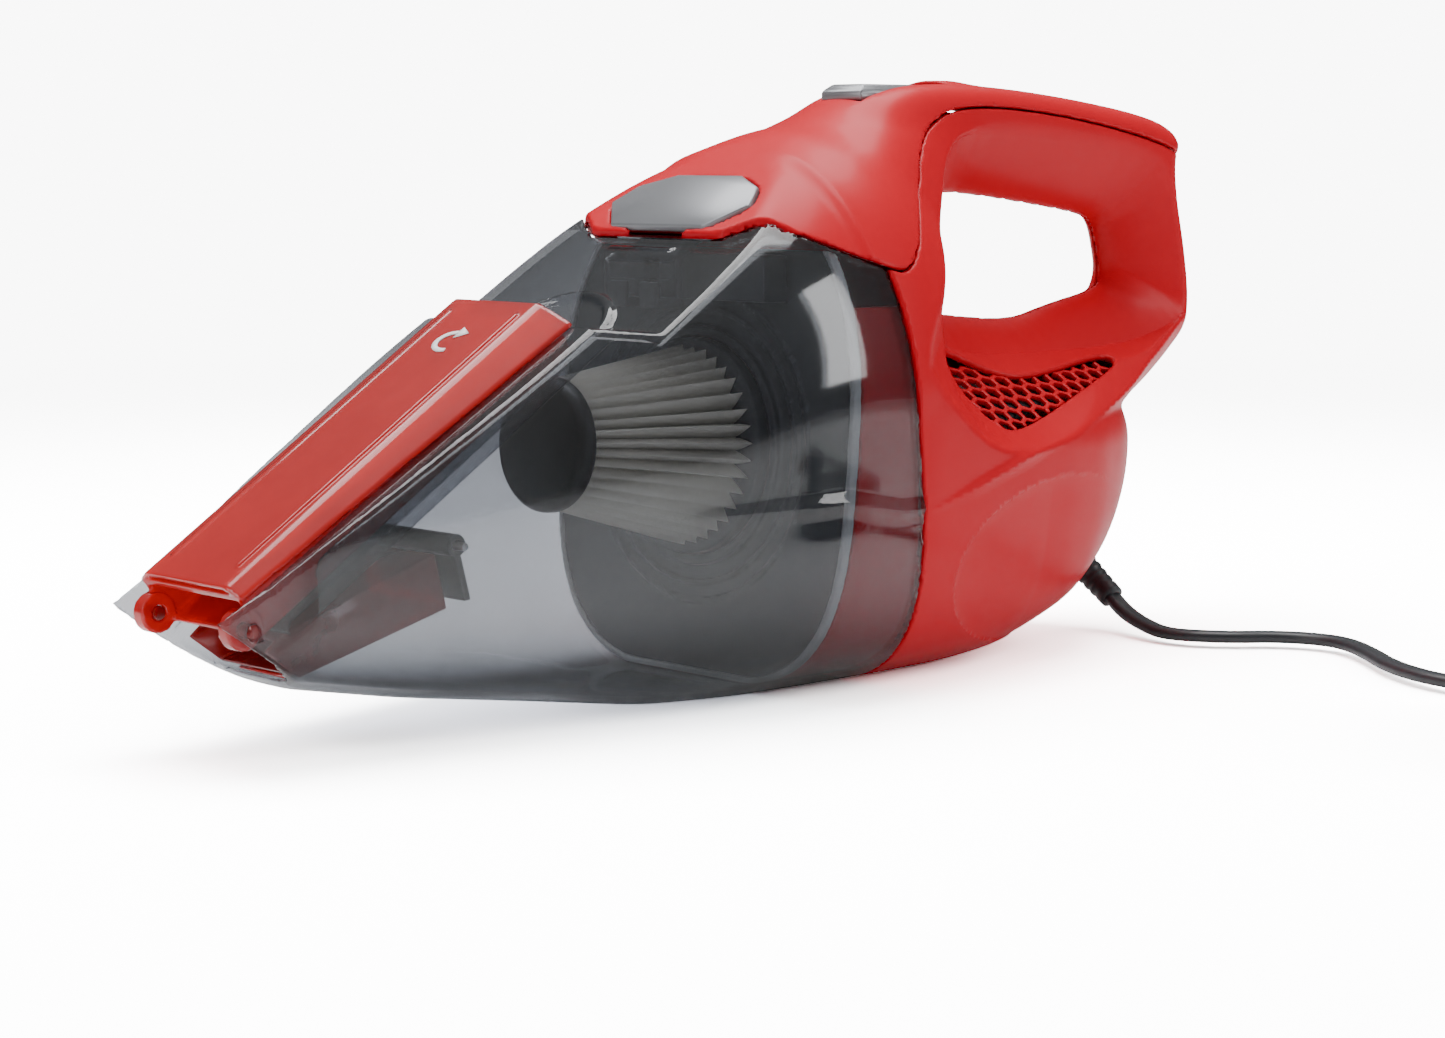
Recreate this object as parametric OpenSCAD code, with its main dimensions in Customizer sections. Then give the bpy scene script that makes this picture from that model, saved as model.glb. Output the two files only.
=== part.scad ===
// Corded handheld vacuum with a slanted dust cup, a flip-out crevice tool and a loop handle.
// Frame: X runs from the nozzle to the rear of the handle, Z is up, Z = 0 is the floor,
// and the origin is on the floor under the middle of the vacuum. All sizes in millimetres.

/* [Shell] */
// Wall of the red housings
wall = 2.5; // [2:0.1:3]
// Wall of the see-through cup
cup_wall = 2.2; // [1.8:0.1:2.6]
// Gap between neighbouring mouldings
gap = 0.2; // [0.1:0.05:0.3]

/* [Crevice tool] */
// Length of the crevice tool
tool_length = 128.6; // [120:0.1:130]
// Width of its flat top
tool_top_width = 38; // [34:1:42]
// Wall of the crevice tool
tool_wall = 1.8; // [1.4:0.1:2.2]
// Diameter of the pins that it turns on
hinge_pin_d = 4; // [3:0.1:5]

/* [Filter] */
// Number of pleats
pleat_count = 36; // [24:1:48]
// Outer radius of the filter's flange
flange_radius = 33; // [32:0.5:34]
// Radius of the filter's end cap
end_cap_radius = 20; // [18:0.5:22]

/* [Motor] */
// Outer radius of the motor can
motor_radius = 31; // [28:0.5:32]
// Radius of the suction fan
fan_radius = 38; // [34:0.5:39]
// Number of fan blades
blade_count = 9; // [7:1:12]
// Diameter of the motor shaft
shaft_d = 6; // [5:0.5:7]

/* [Vents] */
// Width of a vent hexagon across its corners
vent_d = 5.6; // [4:0.1:6]
// Distance between vent hexagons
vent_pitch = 6.6; // [6.2:0.1:8]

/* [Cord] */
// Width of the mains cord
cord_d = 6.6; // [6:0.1:7]
// Radius at the middle of the coiled turns
coil_radius = 40; // [36:1:44]
// Turns side by side in the coil
coil_across = 4; // [3:1:4]
// Layers of turns in the coil
coil_layers = 6; // [4:1:6]

/* [Hidden] */
$fn = 48;

// Colours
red = [0.72, 0.07, 0.08];
clear_red = [0.8, 0.1, 0.1, 0.6];
smoke = [0.45, 0.47, 0.5, 0.35];
charcoal = [0.17, 0.18, 0.2];
silver = [0.67, 0.68, 0.7];
warm_grey = [0.66, 0.64, 0.62];
steel = [0.6, 0.6, 0.62];
copper = [0.72, 0.42, 0.2];
black = [0.1, 0.11, 0.12];

// Pod: X, half width, height of the widest level, top, bottom, roundness of the top and the bottom
POD = [
    [-207, 25.7, 37, 62, 25, 5, 3],
    [-173, 31, 42, 80, 17.5, 4, 3],
    [-140, 39, 46, 98, 11.5, 3.2, 3.1],
    [-100, 50, 56, 121, 6, 2.7, 3.2],
    [-60, 61, 68, 139, 0.2, 2.4, 3.3],
    [-30, 67.5, 80, 152, -1.1, 2.3, 3.3],
    [-10, 69, 84, 160, -1.3, 2.2, 3.3],
    [18, 69, 85, 168, -1.3, 2, 3.3],
    [40, 66, 80, 160, -1.3, 2, 3.3],
    [60, 63, 75, 140, -1.1, 2, 3.3],
    [80, 59.5, 70, 115, 0.3, 2, 3.3],
    [100, 55.5, 68, 108, 4, 2, 3.2],
    [120, 50, 66, 105, 9, 2, 3],
    [140, 41, 66, 100, 20, 2, 2.6],
    [155, 31, 66, 90, 34, 2, 2.3],
    [164, 21, 66, 80, 49, 2, 2.1],
    [171, 5, 66, 70, 62, 2, 2]];
// Crest from the handle's rear corner down to the seam: the same columns
SKIRT = [
    [17, 67, 56, 90, 20, 1.2, 1.25],
    [42, 66.3, 61.8, 95, 26, 1.2, 1.25],
    [70, 62.2, 68.7, 100, 33, 1.2, 1.25],
    [105, 52.4, 75, 104, 42, 1.2, 1.3],
    [118, 47.8, 77.2, 106, 47, 1.2, 1.3],
    [136, 41.4, 80.8, 108, 54, 1.2, 1.3],
    [150, 36, 84.7, 110, 60, 1.2, 1.3],
    [168, 29, 91.9, 114, 68, 1.3, 1.3],
    [182, 23.8, 97, 118, 76, 1.4, 1.4],
    [201, 18, 110, 122, 96, 2, 2]];
// Neck: the same columns, from the cup's seam up to the handle
NECK = [
    [8, 66, 95, 163, 60, 2, 2],
    [18, 65, 95, 168, 60, 2, 2],
    [30, 58, 100, 172, 60, 2.1, 2],
    [45, 46, 105, 178, 62, 2.2, 2],
    [60, 36, 110, 181.5, 64, 2.3, 2],
    [76, 28, 115, 183.3, 66, 2.3, 2],
    [100, 19, 120, 183.5, 68, 2.4, 2]];
// Side outline of the neck and the handle, as X and Z
HANDLE = [[34, 120], [34, 160], [46, 177], [60, 181.3], [72, 183], [98, 183.7], [122, 182.2], [148, 179.6],
    [174, 176.2], [190, 173], [198, 169.5], [201, 164.5], [198.5, 158], [200, 146], [204, 131], [207, 115],
    [206.2, 104], [202, 97], [190, 88], [173, 81], [150, 77], [110, 75], [70, 80], [46, 96]];
// Outlines of the finger gap, as X and Z, at the middle, at the handle's side and further out
GAP_MIDDLE = [[74, 132], [77, 147], [98, 149.5], [158, 142], [169, 139], [174, 121], [172, 115], [149, 111],
    [128, 106], [94, 109], [76, 112]];
GAP_SIDE = [[66, 132], [74, 164], [101, 171.5], [178, 163.5], [195, 149], [203, 114], [198, 104.5], [168, 97],
    [128, 96], [85, 97], [68, 105]];
GAP_FLARE = [[45, 130], [60, 172], [101, 192], [196, 192], [216, 180], [216, 113], [214, 101], [170, 88],
    [128, 82], [86, 78], [54, 84]];
GAP_FAR = [[9, 108], [42, 190], [101, 212], [214, 212], [232, 196], [232, 113], [230, 90], [170, 72],
    [112, 61.5], [48, 64], [9.5, 90]];
handle_half = 18;
flare_half = 45;
// Parting line between the cover and the housings, from the beak's front edge back, as X and Z
PARTING = [[-35.3, 134], [-20, 139], [-9, 134], [10, 127.3], [14, 127], [20, 130], [27, 136], [34, 143],
    [46, 154], [54.5, 163], [65.5, 170], [78, 175], [93, 176.5], [111, 176], [133, 174], [155, 171],
    [182, 166], [201, 160], [215, 158]];
// Half outline of the beak from above, as X and Y
BEAK = [[-35, 24], [-20, 48], [-9, 57], [16, 62]];

// Slope of the crevice tool and the cup's top: where it starts, and its angle
slope_x = -200;
slope_z = 49.5;
slope_angle = 33.3;
cup_depth = 19;
beak_depth = 17.2;
fin_inside = 24.7;
fin_end = 136;
tool_hinge_s = -3;
tool_hinge_n = -11.8;

// Seam between the cup and the housings: X at the floor, and how far it leans forward per mm
seam_x = 20;
seam_lean = 0.1;

// Axis of the filter, fan and motor: it starts in the middle of the bulkhead's front face
axis_x = -14;
axis_z = 73;
axis_tilt = 4;
filter_length = 64;
bulkhead_depth = 3;
shaft_r = shaft_d / 2;

// Vent field on the slope under the finger gap, as X and distance from the middle
VENT = [[76, 17], [96, 28.5], [112, 28.5], [150, 22], [152, 27], [134, 34], [106, 43], [75, 52], [68, 51.5],
    [66.5, 45], [63, 35], [67, 26]];
// Foam behind the vents, in the same terms
FOAM = [[71, 29], [94, 34], [134, 30], [102, 39], [73, 46]];
vent_slope = 30.1;
vent_top = 107;

// Power cord: exit, lie on the floor, start of the coil
cord_low = cord_d / 2;
CORD = [[149, -1, 29.5], [152.5, -4.5, 26.5], [156, -9.5, 21.5], [157.8, -15, 16],
    [157.2, -22.5, 11], [154.5, -31, 7],
    [150.5, -42, 4.6], [148, -53, cord_low], [150, -64, cord_low], [157, -74, cord_low],
    [166, -82, cord_low], [172, -91, cord_low], [174, -102, cord_low], [170, -113, cord_low],
    [161, -126, cord_low], [150, -140, cord_low], [142, -154, cord_low], [138, -168, cord_low],
    [138, -184, cord_low], [143, -201, cord_low], [151, -216, cord_low], [157.5, -231, cord_low],
    [160, -244, cord_low]];
coil_x = 110;
coil_y = -262;
coil_half = coil_across * cord_d / 2;
coil_height = coil_layers * cord_d;

// Easing of a station table: the mean of the straight lines just before, at and after x
function column(rows, c) = [for (row = rows) [row[0], row[c]]];
function eased(rows, c, x, reach = 5) =
    let (line = column(rows, c))
    (lookup(x - reach, line) + 2 * lookup(x, line) + lookup(x + reach, line)) / 4;
function power(v, e) = sign(v) * pow(abs(v), e);

// Closed outline of a body at x, moved in by inset
function section(rows, x, inset, sides) =
    let (
        floor_z = rows == POD ? inset : 0,
        half = max(eased(rows, 1, x) - inset, 1),
        middle = eased(rows, 2, x),
        up = max(eased(rows, 3, x) - inset - middle, 1),
        down = max(middle - eased(rows, 4, x) - inset, 1),
        round_up = 2 / eased(rows, 5, x),
        round_down = 2 / eased(rows, 6, x))
    [for (i = [0:sides - 1])
        let (a = 360 * i / sides, top = a < 180)
        [x, half * power(cos(a), top ? round_up : round_down),
            max(middle + (top ? up : down) * power(sin(a), top ? round_up : round_down), floor_z)]];

// Outline with each point moved inward along the mean of its sides' normals
function shrunk(outline, by) =
    let (n = len(outline))
    [for (i = [0:n - 1])
        let (
            along = outline[(i + 1) % n] - outline[(i + n - 1) % n],
            normal = [along[1], -along[0]] / norm(along))
        outline[i] + normal * by];

// Outline in a plane of constant Y
function at_y(outline, y) = [for (p = outline) [p[0], y, p[1]]];

// Solid through rings of equally many points
module loft(rings) {
    n = len(rings[0]);
    last = len(rings) - 1;
    points = [for (ring = rings) each ring];
    sides = [for (j = [0:last - 1], i = [0:n - 1])
        let (k = (i + 1) % n)
        each [[j * n + i, (j + 1) * n + i, (j + 1) * n + k], [j * n + i, (j + 1) * n + k, j * n + k]]];
    front = [for (i = [0:n - 1]) i];
    back = [for (i = [n - 1:-1:0]) last * n + i];
    polyhedron(points, concat(sides, [front, back]), convexity = 8);
}

// Lofted mouldings are computed as one mesh
module as_one_mesh() {
    resize([0, 0, 0]) children();
}

// Pod or neck between two stations
module body_loft(rows, from, to, inset, sides = 40, step = 9) {
    count = ceil((to - from) / step);
    loft([for (i = [0:count]) section(rows, from + (to - from) * i / count, inset, sides)]);
}

// Everything below the slope, deeper by depth
module under_slope(depth) {
    translate([slope_x, 0, slope_z])
        rotate([0, -slope_angle, 0])
            translate([-80, -120, -260])
                cube([620, 240, 260 - depth]);
}

// Places children in the slope's own frame, X up the slope and Z out of it
module on_slope() {
    translate([slope_x, 0, slope_z])
        rotate([0, -slope_angle, 0])
            children();
}

// Places children on the motor's axis, Z towards the rear
module on_axis(d = 0) {
    translate([axis_x, 0, axis_z])
        rotate([0, 90 + axis_tilt, 0])
            translate([0, 0, d])
                children();
}

// Side outline extruded across the whole width
module across(outline, half = 120) {
    rotate([90, 0, 0])
        linear_extrude(2 * half, center = true)
            polygon(outline);
}

// Handle and neck core, rounded towards both sides
module handle_bar(inset) {
    half = handle_half - inset;
    insets = [[-half, 9], [-half + 0.8, 5.5], [-half + 3.5, 2.2], [-half + 8, 0.4], [0, 0], [half - 8, 0.4],
        [half - 3.5, 2.2], [half - 0.8, 5.5], [half, 9]];
    loft([for (row = insets) at_y(shrunk(HANDLE, row[1] + inset), row[0])]);
}

// Finger gap with its flared rims, grown by grow
module finger_gap(grow) {
    between = (GAP_SIDE + GAP_MIDDLE) / 2;
    rows = [[-75, GAP_FAR], [-flare_half, GAP_FLARE], [-handle_half, GAP_SIDE], [-handle_half / 2, between],
        [0, GAP_MIDDLE], [handle_half / 2, between], [handle_half, GAP_SIDE], [flare_half, GAP_FLARE],
        [75, GAP_FAR]];
    loft([for (row = rows) at_y(shrunk(row[1], -grow), row[0])]);
}

// Outer shape of the cup, housings and cover together, moved in by inset
module body_shape(inset) {
    difference() {
        intersection() {
            union() {
                body_loft(POD, -40, POD[len(POD) - 1][0] - inset, inset);
                body_loft(SKIRT, SKIRT[0][0], SKIRT[len(SKIRT) - 1][0] - inset, inset, 32, 12);
                body_loft(NECK, 8, 100, inset, 40, 11);
                handle_bar(inset);
            }
            under_slope(beak_depth + inset);
            translate([-60, -120, inset])
                cube([300, 240, 200]);
        }
        finger_gap(inset);
    }
}

// Shell of the body
module body_shell() {
    difference() {
        body_shape(0);
        body_shape(wall);
    }
}

// Region of the cover, grown by grow
module cover_region(grow) {
    top = [for (p = PARTING) p - [0, grow]];
    front = PARTING[0][0] - grow;
    beak = [for (p = BEAK) p + [-grow, grow]];
    other = [for (i = [len(BEAK) - 1:-1:0]) [beak[i][0], -beak[i][1]]];
    difference() {
        across(concat([[front, top[0][1]]], top, [[215, 240], [front, 240]]));
        difference() {
            translate([-80, -120, 60])
                cube([94.2, 240, 180]);
            translate([0, 0, 50])
                linear_extrude(200)
                    polygon(concat(beak, other));
        }
    }
}

// Region in front of the seam, moved back by back
module before_seam(back) {
    across([[-260, -20], [seam_x + 2 + back, -20], [seam_x - 24 * seam_lean * 10 + back, 240], [-260, 240]]);
}

// Posts for the screws that hold the two housings together, as X and Z
SCREWS = [[26, 13], [112, 22], [196, 122], [50, 146], [118, 170]];
screw_r = 1.4;
screw_head_r = 2.5;
screw_head_y = 10;
screw_post_r = 4.2;

module screw_posts() {
    for (at = SCREWS)
        translate([at[0], 0, at[1]])
            rotate([90, 0, 0])
                cylinder(h = 80, r = screw_post_r, $fn = 12);
}

// Blind holes on the side that the screws bite into, and sunk heads on the other
module screw_holes(heads) {
    for (at = SCREWS)
        translate([at[0], 0, at[1]])
            rotate([90, 0, 0]) {
                translate([0, 0, -1])
                    cylinder(h = 19, r = screw_r + 0.4, $fn = 12);
                if (heads)
                    translate([0, 0, screw_head_y])
                        cylinder(h = 80, r = screw_head_r + 0.4, $fn = 12);
            }
}

// Left half; the right one mirrors it and takes the screw heads
module housing_half(heads) {
    difference() {
        union() {
            difference() {
                intersection() {
                    body_shell();
                    translate([-60, -120 - gap / 2, -1])
                        cube([300, 120, 200]);
                }
                cover_region(gap / 2);
                before_seam(gap / 2);
            }
            intersection() {
                screw_posts();
                body_shape(wall / 2);
                translate([-60, -120 - gap / 2, -1])
                    cube([300, 120, 200]);
            }
            housing_spigot();
        }
        vent_window(0);
        cord_hole();
        screw_holes(heads);
    }
}

// Collar at the front of a housing half that the cup slides over
module housing_spigot() {
    intersection() {
        difference() {
            body_loft(POD, -30, 30, wall + 0.4, 40, 12);
            body_loft(POD, -31, 31, 2 * wall + 0.4, 40, 12);
        }
        behind_bulkhead(bulkhead_depth + gap);
        translate([-30, -120 - gap / 2, -1])
            cube([seam_x + 26, 120, 118]);
    }
}

// Everything behind the bulkhead's front face, moved back by depth
module behind_bulkhead(depth) {
    on_axis(depth)
        translate([-120, -120, 0])
            cube([240, 240, 240]);
}

module left_housing() {
    color(red)
        as_one_mesh()
            housing_half(false);
}

module right_housing() {
    color(red)
        as_one_mesh()
            mirror([0, 1, 0])
                housing_half(true);
}

module top_cover() {
    color(red)
        as_one_mesh()
            difference() {
                intersection() {
                    body_shell();
                    cover_region(-gap / 2);
                }
                button_shape(0.35, 30);
                slider_slot();
            }
}

// Opening in the slope under the finger gap, or its plate when shrunk
module vent_window(less) {
    on_vents()
        translate([0, 0, -12])
            linear_extrude(24)
                polygon(shrunk(vent_outline(), -less));
}

// Vent field in the plane of the slope, with Y turned down the slope
function vent_outline() = [for (p = VENT) [p[0], -p[1] / cos(vent_slope)]];

module on_vents() {
    translate([0, 0, vent_top])
        rotate([vent_slope, 0, 0])
            children();
}

vent_plate = 2;
vent_sink = 1.2;

module exhaust_grille() {
    rows = [for (p = vent_outline()) p[1]];
    difference() {
        on_vents()
            translate([0, 0, -vent_sink - vent_plate])
                linear_extrude(vent_plate)
                    polygon(shrunk(vent_outline(), 0.3));
        on_vents()
            for (j = [1:9], i = [0:16])
                let (
                    x = 62 + (i + (j % 2) / 2) * vent_pitch,
                    y = -12 - j * vent_pitch * sin(60))
                if (inside_vents(x, y))
                    translate([x, y, -vent_sink - 2 * vent_plate])
                        cylinder(h = 4 * vent_plate, d = vent_d, $fn = 6);
    }
}

// True where a whole vent hexagon fits inside the field
function inside_vents(x, y) =
    let (outline = shrunk(vent_outline(), vent_d / 2 + 1), n = len(outline))
    min([for (i = [0:n - 1])
        let (a = outline[i], b = outline[(i + 1) % n])
        turned(a, b, [x, y])]) > 0 ||
    crossings(outline, x, y) % 2 == 1;
function turned(a, b, p) = (b[0] - a[0]) * (p[1] - a[1]) - (b[1] - a[1]) * (p[0] - a[0]);
function crossings(outline, x, y) =
    let (n = len(outline))
    len([for (i = [0:n - 1])
        let (a = outline[i], b = outline[(i + 1) % n])
        if ((a[1] > y) != (b[1] > y) && x < a[0] + (y - a[1]) / (b[1] - a[1]) * (b[0] - a[0])) i]);

module exhaust_foam() {
    on_vents()
        translate([0, 0, -vent_sink - vent_plate - 0.3 - 3])
            linear_extrude(3)
                polygon([for (p = FOAM) [p[0], -p[1] / cos(vent_slope)]]);
}

module left_exhaust_grille() {
    color(red)
        exhaust_grille();
}

module right_exhaust_grille() {
    color(red)
        mirror([0, 1, 0])
            exhaust_grille();
}

module left_exhaust_foam() {
    color(charcoal)
        exhaust_foam();
}

module right_exhaust_foam() {
    color(charcoal)
        mirror([0, 1, 0])
            exhaust_foam();
}

// Front wall of the housings with the round filter opening and the latch's box above it
module bulkhead() {
    color(charcoal)
        as_one_mesh()
            difference() {
                union() {
                    intersection() {
                        difference() {
                            body_loft(POD, -34, 8, wall + 2.2, 40, 7);
                            cover_region(0.6);
                        }
                        behind_bulkhead(0);
                        on_axis(bulkhead_depth)
                            translate([-160, -120, -40])
                                cube([280, 240, 40]);
                    }
                    on_axis(-1.2)
                        cylinder(h = 3, r = 37);
                    latch_box();
                }
                on_axis(-10)
                    cylinder(h = 30, r = 25);
                on_axis(-2)
                    cylinder(h = 2.4, r = flange_radius + 0.5);
                translate([-19, -34, 120])
                    cube([20, 68, 10]);
            }
}

// Box under the beak, with the seat of the release spring on it
module latch_box() {
    translate([-21, -36, 118])
        cube([11, 72, 14]);
    intersection() {
        spring_line(-38)
            cylinder(h = 38 - 31.2, r = 5, $fn = 24);
        translate([-30, -20, 131])
            cube([40, 40, 30]);
    }
}

spring_s = 203;
spring_depth = 31;

// Places children on the release spring's line, Z out of the slope
module spring_line(n) {
    on_slope()
        translate([spring_s, 0, n])
            children();
}

// Soft ring round the bulkhead that closes the cup
module cup_seal() {
    color(warm_grey)
        as_one_mesh()
            intersection() {
                difference() {
                    body_loft(POD, -34, 8, cup_wall + 0.35, 40, 7);
                    body_loft(POD, -35, 9, wall + 2.05, 40, 7);
                    cover_region(0.6);
                }
                behind_bulkhead(0);
                on_axis(bulkhead_depth)
                    translate([-160, -120, -40])
                        cube([280, 240, 40]);
            }
}

// Round parts on the motor's axis: a profile of radius and distance, turned about it
module turned_part(d, profile) {
    on_axis(d)
        rotate_extrude()
            polygon(profile);
}

module fan_shroud() {
    color(charcoal)
        turned_part(4, [[22, 0], [42, 0], [42, 30], [33.5, 30],
            [33.5, 27.5], [39.5, 27.5], [39.5, 2.5], [22, 2.5]]);
}

module fan_impeller() {
    color(silver)
        on_axis(8) {
            difference() {
                union() {
                    cylinder(h = 6, r = 9);
                    translate([0, 0, 16])
                        cylinder(h = 2, r = fan_radius);
                    cylinder(h = 18, r = 7);
                    difference() {
                        cylinder(h = 1.2, r = fan_radius);
                        translate([0, 0, -1])
                            cylinder(h = 4, r = 22);
                    }
                    for (i = [0:blade_count - 1])
                        rotate([0, 0, i * 360 / blade_count])
                            translate([22, 0, 0])
                                rotate([0, 0, 25])
                                    translate([-8, -0.6, 0.6])
                                        cube([21, 1.2, 16]);
                }
                translate([0, 0, -1])
                    cylinder(h = 20, r = shaft_r + 0.02);
            }
        }
}

module motor_can() {
    color(steel)
        turned_part(36, [[13, 0], [motor_radius, 0], [motor_radius, 72], [13, 72], [13, 70.5],
            [motor_radius - 1.5, 70.5],
            [motor_radius - 1.5, 1.5], [13, 1.5]]);
}

module stator_core() {
    color(steel)
        turned_part(46, [[19, 0], [29.3, 0], [29.3, 38], [19, 38]]);
}

module field_windings() {
    color(copper)
        for (d = [41.2, 84.2])
            turned_part(d, [[20, 0], [27.5, 0], [27.5, 4.6], [20, 4.6]]);
}

module bearing(d) {
    color(silver)
        turned_part(d, [[shaft_r + 0.03, 0], [9, 0], [9, 6], [shaft_r + 0.03, 6]]);
}

module front_bearing() {
    bearing(36);
}

module rear_bearing() {
    bearing(102);
}

// Rubber ring that carries one end of the motor
module motor_mount(d) {
    color(black)
        turned_part(d, [[9.3, 0], [12.7, 0], [12.7, 6], [9.3, 6]]);
}

module front_motor_mount() {
    motor_mount(36);
}

module rear_motor_mount() {
    motor_mount(102);
}

module motor_shaft() {
    color(steel)
        on_axis(6)
            cylinder(h = 106, r = shaft_r);
}

module armature() {
    color(steel)
        turned_part(46, [[shaft_r + 0.02, 0], [17.5, 0], [17.5, 38], [shaft_r + 0.02, 38]]);
}

module commutator() {
    color(copper)
        turned_part(87, [[shaft_r + 0.02, 0], [11, 0], [11, 11], [shaft_r + 0.02, 11]]);
}

brush_d = 93;

// The two brushes and what carries them are alike, on opposite sides
module both_brushes() {
    on_axis(brush_d)
        for (turn = [90, 270])
            rotate([0, 0, turn])
                children();
}

module brush_holders() {
    color(copper)
        both_brushes()
            difference() {
                translate([12.5, -4, -4])
                    cube([14, 8, 8]);
                translate([11, -3.2, -3.2])
                    cube([14.5, 6.4, 6.4]);
            }
}

module carbon_brushes() {
    color(black)
        both_brushes()
            translate([11.2, -3, -3])
                cube([6.5, 6, 6]);
}

module brush_springs() {
    color(steel)
        both_brushes()
            translate([17.8, 0, 0])
                rotate([0, 90, 0])
                    cylinder(h = 7.5, r = 2.2);
}

module switch_module() {
    color(black)
        difference() {
            translate([46, -8, 162.5])
                cube([30, 16, 9]);
            translate([54, -3.5, 168])
                cube([18, 7, 6]);
        }
}

// Tapered rubber sleeve along the cord's first stretch
module cord_strain_relief() {
    color(black)
        as_one_mesh()
            difference() {
                union() {
                    tube_along(cord_line(0, 4), function(t) cord_d / 2 + 2.6 - 1.6 * t, 12);
                    translate(CORD[0])
                        rotate([0, 128, -40])
                            translate([0, 0, -13.5])
                                cylinder(h = 8, r = 6.8, $fn = 24);
                }
                tube_along(cord_line(0, 5), function(t) cord_d / 2 + 0.05, 12);
            }
}

// Slot in the rear of the housings for the strain relief
module cord_hole() {
    translate(CORD[0])
        rotate([0, 128, -40])
            translate([0, 0, -8])
                cylinder(h = 40, r = cord_d / 2 + 3.2, $fn = 24);
    mirror([0, 1, 0])
        translate(CORD[0])
            rotate([0, 128, -40])
                translate([0, 0, -8])
                    cylinder(h = 40, r = cord_d / 2 + 3.2, $fn = 24);
}

module cord_clamp() {
    color(charcoal)
        difference() {
            translate([124, -9, 34])
                cube([8, 18, 8]);
            translate([120, 0, 38])
                rotate([0, 90, 0])
                    cylinder(h = 16, r = 3.4);
        }
}

module housing_screws() {
    color(steel)
        for (at = SCREWS)
            translate([at[0], 0, at[1]])
                rotate([-90, 0, 0]) {
                    translate([0, 0, -14])
                        cylinder(h = screw_head_y + 14.5, r = screw_r, $fn = 12);
                    translate([0, 0, screw_head_y + 0.2])
                        cylinder(h = 2, r = screw_head_r, $fn = 12);
                }
}

// Side walls that the tool lies between, and the slope under it
module cup_limits(inset) {
    union() {
        under_slope(cup_depth + inset);
        for (side = [-1, 1])
            on_slope()
                scale([1, side, 1])
                    translate([0, 120, 0])
                        rotate([90, 0, 0])
                            linear_extrude(120 - fin_inside - inset)
                                polygon([[-30, -80], [-30, -3.6 - inset], [-2, -3.6 - inset],
                                    [10, -5.2 - inset], [128, -7.6 - inset],
                                    [fin_end - inset, -cup_depth], [fin_end - inset, -80]]);
    }
}

// Part in front of and below the slanted nozzle mouth, moved back by back
module before_mouth(back) {
    across([[-260, 60], [-207 - 11 + back, 48.4], [-207 + back, 41], [-173 + back, 17.5], [-140 + back, -6.2],
        [-140, -20], [-260, -20]]);
}

module dust_cup() {
    color(smoke)
        as_one_mesh()
            difference() {
                union() {
                    difference() {
                        intersection() {
                            body_loft(POD, -207, 26, 0, 48, 9);
                            cup_limits(0);
                        }
                        intersection() {
                            body_loft(POD, -215, 30, cup_wall, 48, 9);
                            cup_limits(cup_wall);
                        }
                    }
                    hinge_cheeks();
                }
                before_mouth(0);
                behind_seam();
                cover_region(gap);
                translate([-300, -120, -20])
                    cube([400, 240, 20]);
                hinge_bore(hinge_pin_d / 2 + 0.05, 40);
                tool_sweep();
            }
}

module behind_seam() {
    difference() {
        translate([-60, -120, -10])
            cube([200, 240, 260]);
        before_seam(-gap / 2);
    }
}

// Thickened walls round the tool's pins, inside the nozzle
module hinge_cheeks() {
    for (side = [-1, 1])
        on_slope()
            translate([tool_hinge_s, side * (fin_inside + 1), tool_hinge_n])
                rotate([90, 0, 0])
                    cylinder(h = 2, r = 5, center = true);
}

module hinge_bore(r, half) {
    on_slope()
        translate([tool_hinge_s, 0, tool_hinge_n])
            rotate([90, 0, 0])
                cylinder(h = 2 * half, r = r, center = true);
}

// Room that the tool's round end turns in
module tool_sweep() {
    hinge_bore(13, fin_inside);
}

// Bar under the cup's top edge that the latch catches
module catch_bar() {
    color(smoke)
        translate([-38, -14, 124.6])
            cube([2.5, 28, 5.7]);
}

// Tapered tube from the mouth into the cup
module inlet_duct() {
    color(clear_red)
        difference() {
            across([[-187, 30.6], [-176, 22.4], [-126, 36], [-130, 52], [-182, 34.6]], 18.5);
            across([[-193, 32.6], [-178, 23.3], [-120, 39.1], [-124, 51.8], [-183, 33.1]], 17.2);
        }
}

// Wear lip along the lower edge of the mouth
module nozzle_lip() {
    color(clear_red)
        across([[-175.9, 22.1], [-175.6, 21.1], [-157.6, 26], [-157.9, 27]], 11);
}

module flap_hinge_pin() {
    color(steel)
        translate([-123, 0, 53.5])
            rotate([90, 0, 0])
                cylinder(h = 46, d = 2.4, center = true);
}

// Flap that closes the duct when there is no suction
module inlet_flap() {
    color(black)
        difference() {
            union() {
                across([[-121.4, 50.5], [-118.2, 38], [-120.2, 37.6], [-123.8, 51]], 19);
                translate([-123, 0, 53.5])
                    rotate([90, 0, 0])
                        cylinder(h = 38, r = 3.2, center = true);
            }
            translate([-123, 0, 53.5])
                rotate([90, 0, 0])
                    cylinder(h = 60, r = 1.4, center = true);
        }
}

// Leaf that holds the tool down between the fins
module tool_clip() {
    color(black)
        on_slope()
            translate([118, -5, -cup_depth - cup_wall - 2.2])
                cube([12, 10, 2]);
}

module tool_hinge_pins() {
    color(steel)
        for (side = [-1, 1])
            on_slope()
                translate([tool_hinge_s, side * 22.3, tool_hinge_n])
                    rotate([90, 0, 0])
                        cylinder(h = 8.6, d = hinge_pin_d, center = true);
}

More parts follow.
